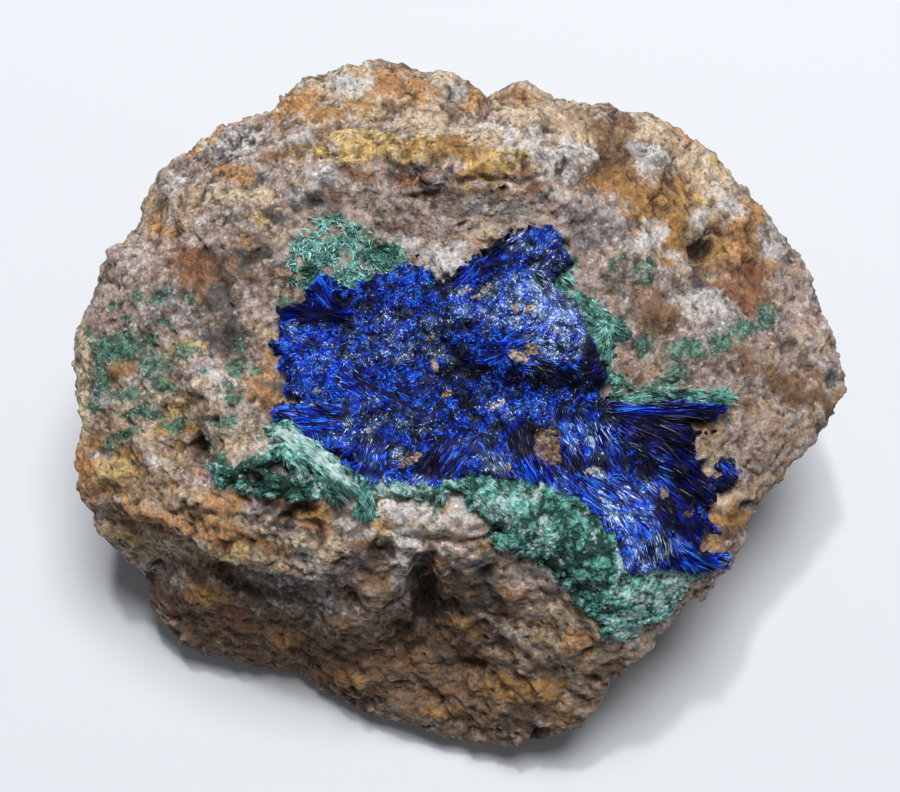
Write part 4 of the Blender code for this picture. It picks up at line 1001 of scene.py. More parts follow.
def stone_material(settings):
    material, tree, shader = new_material("broken_stone")
    where = object_place(tree)

    def noise_at(size, detail, roughness):
        return noise_node(tree, where, 1.0 / size, detail, roughness).outputs["Fac"]

    def above(value, low, high, top=1.0):
        return add_node(
            tree, "ShaderNodeMapRange",
            {"Value": value, "From Min": low, "From Max": high, "To Max": top},
            interpolation_type="SMOOTHSTEP",
        ).outputs[0]

    def over(colour, factor, top):
        return mix_colours(tree, factor, colour, opaque(top))

    tint = add_node(tree, "ShaderNodeAttribute", attribute_name="tint")

    def on_quartz(value):
        """A share that fades where the stone has no white grains."""
        return math_node(tree, "MULTIPLY", value, tint.outputs["Alpha"])

    # grains; the white ones are partly white quartz and partly painted sparkle
    fine = grain_node(tree, where, 0.24 * MM)
    coarse = grain_node(tree, where, 0.7 * MM)
    colour = tint.outputs["Color"]
    colour = over(colour, on_quartz(above(fine["Third"], 0.7, 0.86, 0.6)), settings.white)
    colour = over(colour, on_quartz(above(coarse["Third"], 0.7, 0.8, 0.36)), settings.white)
    colour = over(colour, above(fine["First"], 0.8, 0.92, 0.4), settings.brown)
    colour = over(colour, above(coarse["First"], 0.84, 0.92, 0.25), settings.orange)
    colour = over(colour, above(fine["Second"], 0.92, 0.97, 0.4), settings.dark)

    # pits; earth brown in the hollows, partly dirt and partly painted shade; white on the crests, partly
    # wear and partly painted highlight
    patchy = math_node(tree, "MULTIPLY_ADD", noise_at(3.5 * MM, 3.0, 0.6), 0.9, -0.45)
    pits = math_node(tree, "ADD", noise_at(0.7 * MM, 5.0, 0.75), patchy)
    colour = over(colour, above(pits, 0.57, 0.66, 0.54), settings.earth)
    hollow_shade = attribute_value(tree, "hollow_shade")
    dirt = above(noise_at(0.9 * MM, 4.0, 0.7), 0.4, 0.6, 0.7)
    colour = over(colour, math_node(tree, "MULTIPLY", hollow_shade, dirt), settings.earth)
    crest_wear_and_highlight = math_node(tree, "MULTIPLY", attribute_value(tree, "crest"), 0.28)
    colour = over(colour, on_quartz(crest_wear_and_highlight), settings.white)

    # green film
    leafy = math_node(tree, "MULTIPLY_ADD", noise_at(0.6 * MM, 6.0, 0.8), 1.8, -0.92)
    film = add_node(
        tree, "ShaderNodeMapRange",
        {
            "Value": math_node(tree, "ADD", attribute_value(tree, "film"), leafy),
            "From Min": 0.42, "From Max": 0.66,
        },
    ).outputs[0]
    pale = above(noise_at(0.5 * MM, 3.0, 0.6), 0.46, 0.6)
    leaf = mix_colours(tree, pale, opaque(settings.film_dark), opaque(settings.film))
    colour = mix_colours(tree, math_node(tree, "MULTIPLY", film, 0.88), colour, leaf)

    # light and dark grains, and painted shade that darkens the hollows
    shade = math_node(tree, "MULTIPLY_ADD", fine["Second"], 0.42, -0.06)
    shade = math_node(tree, "MULTIPLY_ADD", coarse["Second"], 0.16, shade)
    shade = math_node(tree, "MULTIPLY_ADD", noise_at(0.4 * MM, 5.0, 0.85), 1.05, shade)
    shade = math_node(tree, "MULTIPLY_ADD", hollow_shade, -0.42, shade)
    shade = math_node(tree, "MAXIMUM", shade, 0.06)
    grey = add_node(tree, "ShaderNodeCombineColor", {0: shade, 1: shade, 2: shade}).outputs[0]
    colour = mix_colours(tree, 1.0, colour, grey, "MULTIPLY")
    tree.links.new(colour, shader.inputs["Base Color"])

    gloss = on_quartz(above(fine["Third"], 0.7, 0.82, 0.45))
    tree.links.new(math_node(tree, "SUBTRACT", 0.8, gloss), shader.inputs["Roughness"])
    bump = bump_node(tree, 0.9, 0.3 * MM, coarse["Height"])
    bump = bump_node(tree, 1.0, 0.21 * MM, fine["Height"], Normal=bump)
    bump = bump_node(tree, 0.9, 0.16 * MM, noise_at(0.3 * MM, 4.0, 0.75), Normal=bump)
    tree.links.new(bump, shader.inputs["Normal"])
    return material


class SPECIMEN_OT_stone(bpy.types.Operator):
    """Make the block of stone with its broken surface and stains"""

    bl_idname = "specimen.stone"
    bl_label = "Stone"

    # heights of the fine lumps and of the broad waves, and how far stains and hollows drift
    fine_height = 0.12 * MM
    wave_height = 0.45 * MM
    drift_pixels = 7.0

    def drift(self, points):
        """Sideways shifts, in pixels, that make the outlines of stains and hollows natural."""
        return self.drift_pixels * np.column_stack([wavy(points, 2.2 * MM, seed, 2) for seed in (5, 6)])

    @staticmethod
    def tint(points, seen, facing, settings):
        """The stone's colour at each point, with the share of sparkling white grains as alpha."""

        def lay(weight, name):
            colour[:] += weight[:, None] * (np.array(getattr(settings, name)) - colour)

        colour = np.tile(np.array(settings.pink), (len(points), 1))
        for number, (name, size, low, high, share) in enumerate(VARIETY):
            lay(share * smooth(wavy(points, size * MM, 60 + number, 5), low, high), name)
        hidden = 1.0 - facing
        for number, (name, size, low, high) in enumerate(HIDDEN_ZONES):
            lay(hidden * smooth(wavy(points, size * MM, 80 + number, 5), low, high), name)
        ragged = [0.42 * wavy(points, 1.3 * MM, 90 + number, 5) for number in range(4)]
        earthy = np.zeros(len(points))
        for number, (name, *ellipse) in enumerate(STAINS):
            mask = in_ellipse(seen, *ellipse) + ragged[number % 4]
            weight = smooth(mask, 0.42, 0.66) * facing
            lay(0.92 * weight, name)
            earthy += weight * (SMOOTHNESS.get(name, 0.0) - earthy)
        # fewer white grains, partly painted sparkle, on the faces turned away from the crystal face
        return np.column_stack((colour, (1.0 - earthy) * (0.3 + 0.7 * facing)))

    def break_surface(self, mesh, settings):
        """Moves the points of the smooth block out and in, and marks its hollows and crests, where the
        material paints shade and highlight.
        """
        points, normals = points_and_normals(mesh)
        covered = evened((crust_cover(points)[0] >= 0).astype(float), neighbour_edges(mesh), 9)
        facing = smooth(normals @ OUT, 0.0, 0.2)
        off_foot = smooth(points[:, 2], 0.2 * MM, 2.0 * MM)
        rough = wavy(points, 6.0 * MM, 1, 5)
        big = facets(points, settings.facet_size, 2)[0]
        middle = facets(points + 0.4 * MM * swirl(points, 0.9 * MM, 13), settings.lump_size, 12)[0]
        small, small_edge, _ = facets(points, settings.grain_size, 3)
        fine = wavy(points, 0.6 * MM, 4, 2)
        seen = picture_places(points) + self.drift(points)

        # how far each point moves: flat breaks and grains rise by a share of their own widths
        height = settings.roughness_height * rough
        height += settings.facet_size * 0.22 * big
        height += settings.lump_size * 0.2 * middle
        height += settings.grain_size * 0.32 * small
        height += settings.grain_size * 0.08 * np.minimum(small_edge, 0.4)
        height += self.fine_height * fine
        height += self.wave_height * (np.abs(wavy(points, 2.6 * MM, 7, 3)) - 0.25)
        shaped = bump_heights(seen, KNOBS) - bump_heights(seen, HOLLOWS) + seam_heights(seen)
        height = height * (1.0 - 0.65 * covered) + shaped * facing * (1.0 - covered)
        points = points + normals * (height * off_foot)[:, None]
        points[:, 2] = np.where(points[:, 2] < 0.15 * MM, 0.0, points[:, 2])
        set_points(mesh, points)
        # how low or raised each point is: the material paints shade in the low ones and highlight on the
        # raised ones
        raised = 0.8 * small + 0.4 * fine + 0.45 * big + 0.6 * middle
        low = np.clip(0.5 - raised, 0.0, 1.0)
        set_attribute(mesh, "hollow_shade", smooth(low, 0.45, 0.95) * (1.0 - covered))
        set_attribute(mesh, "crest", smooth(raised, 0.05, 0.5) * (1.0 - covered))

    @staticmethod
    def mark_crusts(mesh, points, normals, edges):
        """Marks which crust lies over each point, by its place in CRUST_NODES, and how thick."""
        label, thickness = close_gaps(*crust_cover(points), edges, 2)
        seen = picture_places(points)
        for neighbour, crust, *ellipse in OVERGROWN:
            taken = in_ellipse(seen, *ellipse) > 0.5
            taken &= label == CRUST_NODES.index(neighbour)
            label[taken] = CRUST_NODES.index(crust)
            thickness[taken] *= 0.5
        for crust, *ellipse in SPREADS:
            taken = (in_ellipse(seen, *ellipse) > 0.5) & (label < 0) & (normals @ OUT > 0.2)
            taken &= (points - FACE_CENTRE) @ OUT > -SPREAD_DEPTH
            label[taken] = CRUST_NODES.index(crust)
            thickness[taken] = SPREAD_THICKNESS
        for node, share in THINNER.items():
            thickness[label == CRUST_NODES.index(node)] *= share
        set_attribute(mesh, "crust", label, "INT")
        set_attribute(mesh, "thickness", thickness)

    def execute(self, context):
        settings = context.scene.specimen_stone
        stone = new_object("stone", merged_mesh("matrix_rock", "stone"))
        remesh = stone.modifiers.new("grid", "REMESH")
        remesh.mode = "VOXEL"
        remesh.voxel_size = settings.grid
        apply_modifiers(stone)
        self.break_surface(stone.data, settings)
        thin = stone.modifiers.new("thin", "DECIMATE")
        thin.ratio = min(1.0, settings.triangles / len(triangles_of(stone.data)))
        thin.use_collapse_triangulate = True
        apply_modifiers(stone)

        mesh = stone.data
        points, normals = points_and_normals(mesh)
        edges = neighbour_edges(mesh)
        self.mark_crusts(mesh, points, normals, edges)
        seen = picture_places(points) + self.drift(points)
        soft = np.column_stack([evened(normals[:, axis], edges, 6) for axis in range(3)])
        facing = smooth(soft @ OUT, -0.02, 0.14)
        set_attribute(mesh, "tint", self.tint(points, seen, facing, settings), "FLOAT_COLOR")
        film = np.max([in_ellipse(seen, *ellipse) for ellipse in GREEN_FILM], axis=0)
        set_attribute(mesh, "film", film * facing)
        mesh.materials.clear()
        mesh.materials.append(stone_material(settings))
        mesh.shade_smooth()
        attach(stone, "root")
        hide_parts("matrix_rock")
        return {"FINISHED"}


def needle_ring(bend, height):
    """Three points of a flattened ring one wide, round a middle that is moved sideways."""
    return [
        (bend + 0.5 * math.cos(turn), 0.36 * math.sin(turn), height)
        for turn in (0.0, math.tau / 3, 2 * math.tau / 3)
    ]


def needle_object(name, points, faces):
    """A needle one long and one wide, with its place along the needle as tip and full shine."""
    mesh = bpy.data.meshes.new(name)
    mesh.from_pydata(points, [], faces)
    set_attribute(mesh, "tip", [point[2] for point in points])
    set_attribute(mesh, "shine", np.ones(len(points)))
    return new_object(name, mesh)


def blue_needle():
    """A closed three-sided spike."""
    points = [*needle_ring(0.0, 0.0), (0.0, 0.0, 1.0)]
    return needle_object("needle", points, [(0, 2, 1), (0, 1, 3), (1, 2, 3), (2, 0, 3)])


def green_fibre():
    """A closed three-sided fibre, pointed at both ends and bent in its middle."""
    points = [(0.0, 0.0, 0.0), *needle_ring(0.8, 0.4), (0.0, 0.0, 1.0)]
    faces = []
    for one, two in ((1, 2), (2, 3), (3, 1)):
        faces += [(0, two, one), (4, one, two)]
    return needle_object("fibre", points, faces)


# Attributes that lead the growth, or pass from one of its steps to the next.
GROWTH_ATTRIBUTES = (
    "density", "lie", "reach", "fan", "loose", "tone", "frost", "axis", "spray_tone",
)


def growth_tree():
    """Geometry tree: sprays of needles on a surface, led by the surface's own attributes.

    density is how thickly they grow, lie which way they lean, loose how far sprays stray from it,
    reach how long they are, fan how far the needles of a spray spread, tone their colour, and the last,
    named after frost and glint, the share of them that is whitish: painted glints on blue needles.
    """
    if "needle_growth" in bpy.data.node_groups:
        return bpy.data.node_groups["needle_growth"]
    tree, given = new_group(
        "needle_growth", "GeometryNodeTree",
        [
            ("Surface", "NodeSocketGeometry", None), ("Needle", "NodeSocketObject", None),
            ("Sprays per Square Metre", "NodeSocketFloat", 2.0e7),
            ("Needles per Spray", "NodeSocketInt", 5), ("Needle Width", "NodeSocketFloat", 0.00008),
            ("Lift", "NodeSocketFloat", 0.4), ("Tangle", "NodeSocketFloat", 0.8),
            ("Tone Spread", "NodeSocketFloat", 0.2), ("Seed", "NodeSocketInt", 1),
            ("Keep Surface", "NodeSocketBool", True), ("Material", "NodeSocketMaterial", None),
        ],
        [("Geometry", "NodeSocketGeometry")],
    )
    surface, needle, sprays, amount, needle_width, lift, tangle, tone_spread = given.outputs[:8]
    seed, keep_surface, material = given.outputs[8:11]

    def read(name, kind="FLOAT"):
        node = add_node(tree, "GeometryNodeInputNamedAttribute", {"Name": name}, data_type=kind)
        return node.outputs["Attribute"]

    def store(geometry, name, value, kind="FLOAT"):
        node = add_node(
            tree, "GeometryNodeStoreNamedAttribute",
            {"Geometry": geometry, "Name": name, "Value": value}, data_type=kind, domain="POINT",
        )
        return node.outputs[0]

    def vector(*values, **scale):
        return vector_node(tree, *values, **scale)

    def random_vector(step):
        own_seed = math_node(tree, "ADD", seed, step)
        node = add_node(
            tree, "FunctionNodeRandomValue",
            {0: (-1.0, -1.0, -1.0), 1: (1.0, 1.0, 1.0), "Seed": own_seed}, data_type="FLOAT_VECTOR",
        )
        return node.outputs[0]

    def random_number(step, low, high):
        own_seed = math_node(tree, "ADD", seed, step)
        node = add_node(
            tree, "FunctionNodeRandomValue", {2: low, 3: high, "Seed": own_seed}, data_type="FLOAT",
        )
        return node.outputs[1]

    # where the sprays stand and which way they point
    density = math_node(tree, "MULTIPLY", read("density"), sprays)
    roots = add_node(
        tree, "GeometryNodeDistributePointsOnFaces",
        {"Mesh": surface, "Density": density, "Seed": seed},
    )
    normal = roots.outputs["Normal"]
    astray = math_node(tree, "MULTIPLY", read("loose"), tangle)
    raised = math_node(tree, "MULTIPLY", read("loose"), lift)
    lean = vector("ADD", read("lie", "FLOAT_VECTOR"), vector("SCALE", random_vector(1), scale=astray))
    facing = math_node(tree, "MAXIMUM", vector("DOT_PRODUCT", normal, tuple(OUT)), 0.0)
    level = math_node(tree, "MULTIPLY", vector("DOT_PRODUCT", lean, normal), facing)
    flat = vector("SUBTRACT", lean, vector("SCALE", normal, scale=level))
    rise = vector("ADD", vector("SCALE", normal, scale=0.4), tuple(0.6 * OUT))
    axis = vector("NORMALIZE", vector("ADD", flat, vector("SCALE", rise, scale=raised)))
    points = store(roots.outputs["Points"], "axis", axis, "FLOAT_VECTOR")
    less = math_node(tree, "MULTIPLY", tone_spread, -1.0)
    points = store(points, "spray_tone", random_number(2, less, tone_spread))
    needles = add_node(
        tree, "GeometryNodeDuplicateElements",
        {"Geometry": points, "Amount": amount}, domain="POINT",
    ).outputs["Geometry"]

    # how pale each needle is; on the blue the whitish ones are painted glints, on the green pale fibres
    frosted = math_node(tree, "MULTIPLY", read("frost"), 0.92)
    frosted = math_node(tree, "SUBTRACT", frosted, random_number(3, 0.0, 1.0))
    frosted = math_node(tree, "MULTIPLY", frosted, 6.0, use_clamp=True)
    bright = math_node(tree, "POWER", random_number(4, 0.0, 1.0), 2.5)
    bright = math_node(tree, "MULTIPLY_ADD", bright, 1.15, -0.26)
    change = math_node(tree, "ADD", read("spray_tone"), bright)
    change = math_node(tree, "MULTIPLY", change, math_node(tree, "MULTIPLY_ADD", read("tone"), 1.5, 0.16))
    shade = math_node(tree, "ADD", read("tone"), change)
    needles = store(needles, "shade", shade)
    needles = store(needles, "frosted", frosted)

    # which way each needle points, how thick it is and how long
    stray = vector("SCALE", random_vector(5), scale=read("fan"))
    way = vector("NORMALIZE", vector("ADD", read("axis", "FLOAT_VECTOR"), stray))
    turned = add_node(tree, "FunctionNodeAlignRotationToVector", {"Vector": way}, axis="Z")
    spin = add_node(tree, "ShaderNodeCombineXYZ", {2: random_number(6, 0.0, math.tau)})
    spin = add_node(tree, "FunctionNodeEulerToRotation", {"Euler": spin.outputs[0]})
    rotation = add_node(
        tree, "FunctionNodeRotateRotation",
        {"Rotation": turned.outputs[0], "Rotate By": spin.outputs[0]}, rotation_space="LOCAL",
    )
    thick = math_node(tree, "POWER", random_number(7, 0.0, 1.0), 3.0)
    thick = math_node(tree, "MULTIPLY_ADD", thick, 1.5, 0.65)
    thick = math_node(tree, "MULTIPLY_ADD", read("frosted"), 0.7, thick)
    width = math_node(tree, "MULTIPLY", needle_width, thick)
    length = math_node(tree, "MULTIPLY", read("reach"), random_number(8, 0.45, 1.05))
    shorter = math_node(tree, "MULTIPLY_ADD", read("frosted"), -0.4, 1.0)
    length = math_node(tree, "MULTIPLY", length, shorter)
    scale = add_node(tree, "ShaderNodeCombineXYZ", {0: width, 1: width, 2: length})
    shape = add_node(tree, "GeometryNodeObjectInfo", {"Object": needle})
    placed = add_node(
        tree, "GeometryNodeInstanceOnPoints",
        {
            "Points": needles, "Instance": shape.outputs["Geometry"],
            "Rotation": rotation.outputs[0], "Scale": scale.outputs[0],
        },
    )
    grown = add_node(tree, "GeometryNodeRealizeInstances", {"Geometry": placed.outputs[0]})
    both = add_node(tree, "GeometryNodeJoinGeometry")
    tree.links.new(surface, both.inputs[0])
    tree.links.new(grown.outputs[0], both.inputs[0])
    choice = {"Switch": keep_surface, "False": grown.outputs[0], "True": both.outputs[0]}
    chosen = add_node(tree, "GeometryNodeSwitch", choice, input_type="GEOMETRY")
    covered = add_node(
        tree, "GeometryNodeSetMaterial", {"Geometry": chosen.outputs[0], "Material": material},
    )
    add_node(tree, "NodeGroupOutput", {"Geometry": covered.outputs[0]})
    return tree


def grow(obj, needle, material, **inputs):
    """Grows needles on the object and leaves it a plain mesh. Inputs are named as in the tree."""
    tree = growth_tree()
    sockets = {
        item.name: item.identifier for item in tree.interface.items_tree
        if item.item_type == "SOCKET" and item.in_out == "INPUT"
    }
    modifier = obj.modifiers.new("needles", "NODES")
    modifier.node_group = tree
    modifier[sockets["Needle"]] = needle
    modifier[sockets["Material"]] = material
    for name, value in inputs.items():
        modifier[sockets[name.replace("_", " ")]] = value
    apply_modifiers(obj)


def flow(places, streams, felt_length):
    """(direction on the face, length, fan, looseness) of the needles that streams lead.

    Far from every stream they are felt: short, fanned out and loose.
    """
    felt_share = 0.25
    felt_fan = 0.9
    total = np.full(len(places), felt_share)
    lie = np.zeros((len(places), 2))
    reach = total * felt_length
    fan = total * felt_fan
    for x0, y0, x1, y1, half_width, length, spread in streams:
        along = np.array((x1 - x0, y1 - y0), float)
        away = distance_to_line(places, ((x0, y0), (x1, y1))) / half_width
        weight = 2.2 * np.exp(-away ** 4)
        lie += weight[:, None] * along / np.linalg.norm(along)
        reach += weight * length * MM
        fan += weight * spread
        total += weight
    lie /= total[:, None]
    loose = 1.0 - smooth(np.linalg.norm(lie, axis=1), 0.2, 0.85)
    return lie[:, :1] * ACROSS - lie[:, 1:] * UP_FACE, reach / total, fan / total, loose


def room_ahead(places, outline, lie, reach):
    """The needles' length cut back so that their tips stay over the crust, for each place.

    outline holds the places that the crust covers.
    """
    picture = np.zeros((PICTURE_HEIGHT, PICTURE_WIDTH), bool)

    def cells(spots):
        columns, rows = np.round(spots).astype(int).T
        return np.clip(rows, 0, PICTURE_HEIGHT - 1), np.clip(columns, 0, PICTURE_WIDTH - 1)

    for right in range(-2, 3):
        for down in range(-2, 3):
            picture[cells(outline + (right, down))] = True
    way = np.column_stack((lie @ ACROSS, -(lie @ UP_FACE)))
    way /= np.maximum(np.linalg.norm(way, axis=1), 1e-9)[:, None]
    free = np.zeros(len(places))
    going = np.ones(len(places), bool)
    # in pixels: the length of a step, the longest way looked, and how far tips may stand over
    step, longest, overhang = 2.0, 46.0, 2.5
    for number in range(1, int(longest / step) + 1):
        going &= picture[cells(places + way * step * number)]
        free += going * step
    return np.minimum(reach, (free + overhang) * PIXEL)


def blended(places, patches, start):
    """Values that start everywhere from the same numbers and are blended over by ellipses."""
    values = np.tile(np.array(start, float), (len(places), 1))
    for x, y, half_width, half_height, turn, *new in patches:
        weight = smooth(in_ellipse(places, x, y, half_width, half_height, turn), 0.35, 0.72)
        values += weight[:, None] * (np.array(new) - values)
    return values


def sides_of(faces):
    return np.concatenate((faces[:, (0, 1)], faces[:, (1, 2)], faces[:, (2, 0)]))


def split_triangles(faces, values):
    """Each triangle cut into four. values holds one row for each point."""
    pairs, place = np.unique(np.sort(sides_of(faces), axis=1), axis=0, return_inverse=True)
    a, b, c = faces.T
    ab, bc, ca = place.reshape(3, -1) + len(values)
    faces = np.concatenate([
        np.column_stack(corners)
        for corners in ((a, ab, ca), (ab, b, bc), (ca, bc, c), (ab, bc, ca))
    ])
    return faces, np.concatenate((values, 0.5 * (values[pairs[:, 0]] + values[pairs[:, 1]])))


def outward_lean(points, edges, inside):
    """Vectors that point out of the inside region near its edge and fade to nothing within it."""
    soft = evened(inside.astype(float), edges, 14)
    change = soft[edges[:, 1]] - soft[edges[:, 0]]
    step = points[edges[:, 1]] - points[edges[:, 0]]
    push = step * (change / np.maximum((step * step).sum(axis=1), 1e-12))[:, None]
    slope = np.zeros_like(points)
    for number in range(3):
        for one in (0, 1):
            slope[:, number] += np.bincount(edges[:, one], weights=push[:, number], minlength=len(points))
    size = np.linalg.norm(slope, axis=1)
    return -slope / np.maximum(size, 1e-9)[:, None] * smooth(1.0 - soft, 0.12, 0.5)[:, None]


class Crust:
    """The crusts' common surface, taken from the stone, and the bodies cut from it.

    label is the crust over each point. feather is 0 where its edge or a bare spot is and 1 well
    within it. lean points outwards near its edge, room is how many edges off the blue ends, and
    wall is 1 where the crusts' thickness has a step.
    """

    # how far a body's rim and its underside lie under the stone
    sunk = 0.14 * MM
    under = 0.34 * MM
    # how many edges away from a border counts as far
    far = 8

    def __init__(self, stone):
        mesh = stone.data
        self.points = points_and_normals(mesh)[0]
        self.places = picture_places(self.points)
        self.faces = triangles_of(mesh)
        self.edges = neighbour_edges(mesh)
        self.label = get_attribute(mesh, "crust")
        corners = self.label[self.faces]
        self.face_label = np.where(corners.min(axis=1) >= 0, corners.max(axis=1), -1)
        self.inside = self.label >= 0
        self.blue = self.inside & (self.label < len(BLUE_NODES))
        steps = steps_from_edge(self.inside, self.edges, self.far)
        ragged = wavy(self.points, 0.7 * MM, 31, 3)
        self.feather = smooth(evened(steps.astype(float), self.edges, 1) + 3.0 * ragged, 0.6, 3.4)
        for spot in BARE_SPOTS:
            bare = in_ellipse(self.places, *spot) + 0.3 * ragged
            self.feather *= 1.0 - smooth(bare, 0.42, 0.62)
        self.lean = outward_lean(self.points, self.edges, self.inside)
        self.room = steps_from_edge(self.blue, self.edges, self.far)
        self.thickness = evened(get_attribute(mesh, "thickness").astype(float), self.edges, 2)
        ends = self.edges.T
        run = np.linalg.norm(self.points[ends[0]] - self.points[ends[1]], axis=1)
        slope = np.abs(self.thickness[ends[0]] - self.thickness[ends[1]]) / np.maximum(run, 1e-6)
        steep = np.zeros(len(self.points))
        for end in ends:
            np.maximum.at(steep, end, slope)
        self.wall = smooth(evened(steep, self.edges, 1), 0.5, 1.2)

    def refine(self, first, last, rounds):
        """Keeps only the crusts numbered from first to last and cuts their triangles smaller."""
        kept = (self.face_label >= first) & (self.face_label <= last)
        used, faces = np.unique(self.faces[kept], return_inverse=True)
        faces = faces.reshape(-1, 3)
        label = self.face_label[kept]
        columns = (
            self.points, self.lean, self.thickness[:, None], self.feather[:, None],
            self.room[:, None].astype(float), self.wall[:, None],
        )
        values = np.column_stack([column[used] for column in columns])
        for _ in range(rounds):
            faces, values = split_triangles(faces, values)
            label = np.tile(label, 4)
        self.faces, self.face_label = faces, label
        self.points, self.lean = values[:, :3], values[:, 3:6]
        self.thickness, self.feather, self.room, self.wall = values[:, 6:].T
        self.places = picture_places(self.points)

    def body(self, node, lumps, fill):
        """A closed body for one node, as thick as the crust and its lumps where fill is 1.

        Returns (object, the surface points under its top, how far each of them is filled).
        """
        faces = self.faces[self.face_label == CRUST_NODES.index(node)]
        used, faces = np.unique(faces, return_inverse=True)
        faces = faces.reshape(-1, 3)
        share = np.clip(self.feather[used] * fill[used], 0.0, 1.0)
        rise = (self.thickness[used] + lumps[used]) * share - self.sunk * (1.0 - share)
        top = self.points[used] + OUT * rise[:, None]
        bottom = self.points[used] - OUT * self.under
        count = len(used)

        # a side that no other triangle runs back along is on the rim
        sides = sides_of(faces).astype(np.int64)
        there, back = sides @ (count, 1), sides @ (1, count)
        rim = sides[~np.isin(there, back)]
        walls = np.concatenate((
            np.column_stack((rim[:, 0], rim[:, 0] + count, rim[:, 1] + count)),
            np.column_stack((rim[:, 0], rim[:, 1] + count, rim[:, 1])),
        ))
        everything = np.concatenate((faces, faces[:, ::-1] + count, walls))
        mesh = bpy.data.meshes.new(node)
        mesh.from_pydata(np.concatenate((top, bottom)), [], everything.tolist())
        return new_object(node + "_growth", mesh), used, share


def paint(mesh, used, share, growth, skin):
    """Gives a body's top the attributes that lead the growth, and its underside none.

    used and share are as Crust.body gives them. growth holds each attribute's values on the whole
    surface, and skin the (shade, whitishness) of the body itself.
    """
    top = {name: values[used] for name, values in growth.items()}
    top["density"] = top["density"] * smooth(share, 0.12, 0.5)
    top["shade"], top["frosted"] = skin[0][used], skin[1][used]
    for name, values in top.items():
        kind = "FLOAT" if values.ndim == 1 else "FLOAT_VECTOR"
        set_attribute(mesh, name, np.concatenate((values, np.zeros_like(values))), kind)


def crumb_cover(places):
    """How far each place is under a bit of stone: 1 under its middle, 0 beside it."""
    cover = np.max([in_ellipse(places, *ellipse) for _, *ellipse in CRUMBS], axis=0)
    return smooth(cover, 0.5, 0.7)


def finish_piece(obj, node, name):
    """Removes what only led the growth, and says what the piece is."""
    attributes = obj.data.attributes
    for used in GROWTH_ATTRIBUTES:
        if used in attributes:
            attributes.remove(attributes[used])
    obj.name = name
    obj.data.shade_flat()
    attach(obj, "root")
    if node:
        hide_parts(node)


def ramp(tree, factor, stops):
    node = add_node(tree, "ShaderNodeValToRGB", {0: factor})
    elements = node.color_ramp.elements
    while len(elements) < len(stops):
        elements.new(0.5)
    for element, (place, colour) in zip(elements, stops):
        element.position = place
        element.color = opaque(colour)
    return node.outputs[0]


def set_crystal_roughness(tree, shader, cloud, least):
    """Uneven roughness on the needles. The bodies under them, which have no shine, are dull."""
    rough = math_node(tree, "MULTIPLY_ADD", cloud, 0.3, least)
    dull = math_node(tree, "SUBTRACT", 1.0, attribute_value(tree, "shine"))
    tree.links.new(math_node(tree, "MAXIMUM", rough, dull), shader.inputs["Roughness"])


def linarite_material(settings):
    material, tree, shader = new_material("linarite_crystal")
    where = object_place(tree)
    cloud = noise_node(tree, where, 800.0, 3.0).outputs["Fac"]
    shade = math_node(tree, "MULTIPLY_ADD", cloud, 0.5, attribute_value(tree, "shade"))
    shade = math_node(tree, "SUBTRACT", shade, 0.25)
    tip = attribute_value(tree, "tip")
    shade = math_node(tree, "MULTIPLY_ADD", tip, 0.16, shade)
    colour = ramp(
        tree, shade,
        ((0.0, settings.black), (0.2, settings.navy), (0.5, settings.royal), (0.95, settings.azure)),
    )
    frosted = attribute_value(tree, "frosted")
    frosted = math_node(tree, "MULTIPLY", frosted, math_node(tree, "MULTIPLY_ADD", tip, 0.3, 0.62))
    colour = mix_colours(tree, frosted, colour, opaque(settings.frost))
    # pale needles, painted glints, are almost white in spots a third of a millimetre wide
    spots = noise_node(tree, where, 3000.0, 2.0).outputs["Fac"]
    spots = math_node(tree, "MULTIPLY_ADD", spots, 6.0, -2.6, use_clamp=True)
    whitest = math_node(tree, "MULTIPLY_ADD", frosted, 3.5, -0.9, use_clamp=True)
    whitest = math_node(tree, "MULTIPLY", whitest, spots)
    colour = mix_colours(tree, whitest, colour, opaque(settings.white))
    tree.links.new(colour, shader.inputs["Base Color"])
    set_crystal_roughness(tree, shader, cloud, 0.15)
    shader.inputs["IOR"].default_value = 1.5
    shader.inputs["Specular IOR Level"].default_value = 0.2
    return material


def green_material(settings):
    material, tree, shader = new_material("green_mineral")
    where = object_place(tree)
    cloud = noise_node(tree, where, 1800.0, 5.0, 0.7).outputs["Fac"]
    grains = grain_node(tree, where, 0.2 * MM)
    shade = math_node(tree, "MULTIPLY_ADD", cloud, 0.8, attribute_value(tree, "shade"))
    shade = math_node(tree, "MULTIPLY_ADD", grains["Third"], 0.3, shade)
    shade = math_node(tree, "SUBTRACT", shade, 0.55)
    shade = math_node(tree, "MULTIPLY_ADD", attribute_value(tree, "tip"), 0.2, shade)
    colour = ramp(tree, shade, ((0.0, settings.dark), (0.5, settings.mid), (1.0, settings.mint)))
    frosted = math_node(tree, "MULTIPLY", attribute_value(tree, "frosted"), 0.75)
    colour = mix_colours(tree, frosted, colour, opaque(settings.frost))
    tree.links.new(colour, shader.inputs["Base Color"])
    set_crystal_roughness(tree, shader, cloud, 0.45)
    bump = bump_node(tree, 0.7, 0.08 * MM, grains["Height"])
    bump = bump_node(tree, 0.8, 0.1 * MM, cloud, Normal=bump)
    tree.links.new(bump, shader.inputs["Normal"])
    return material


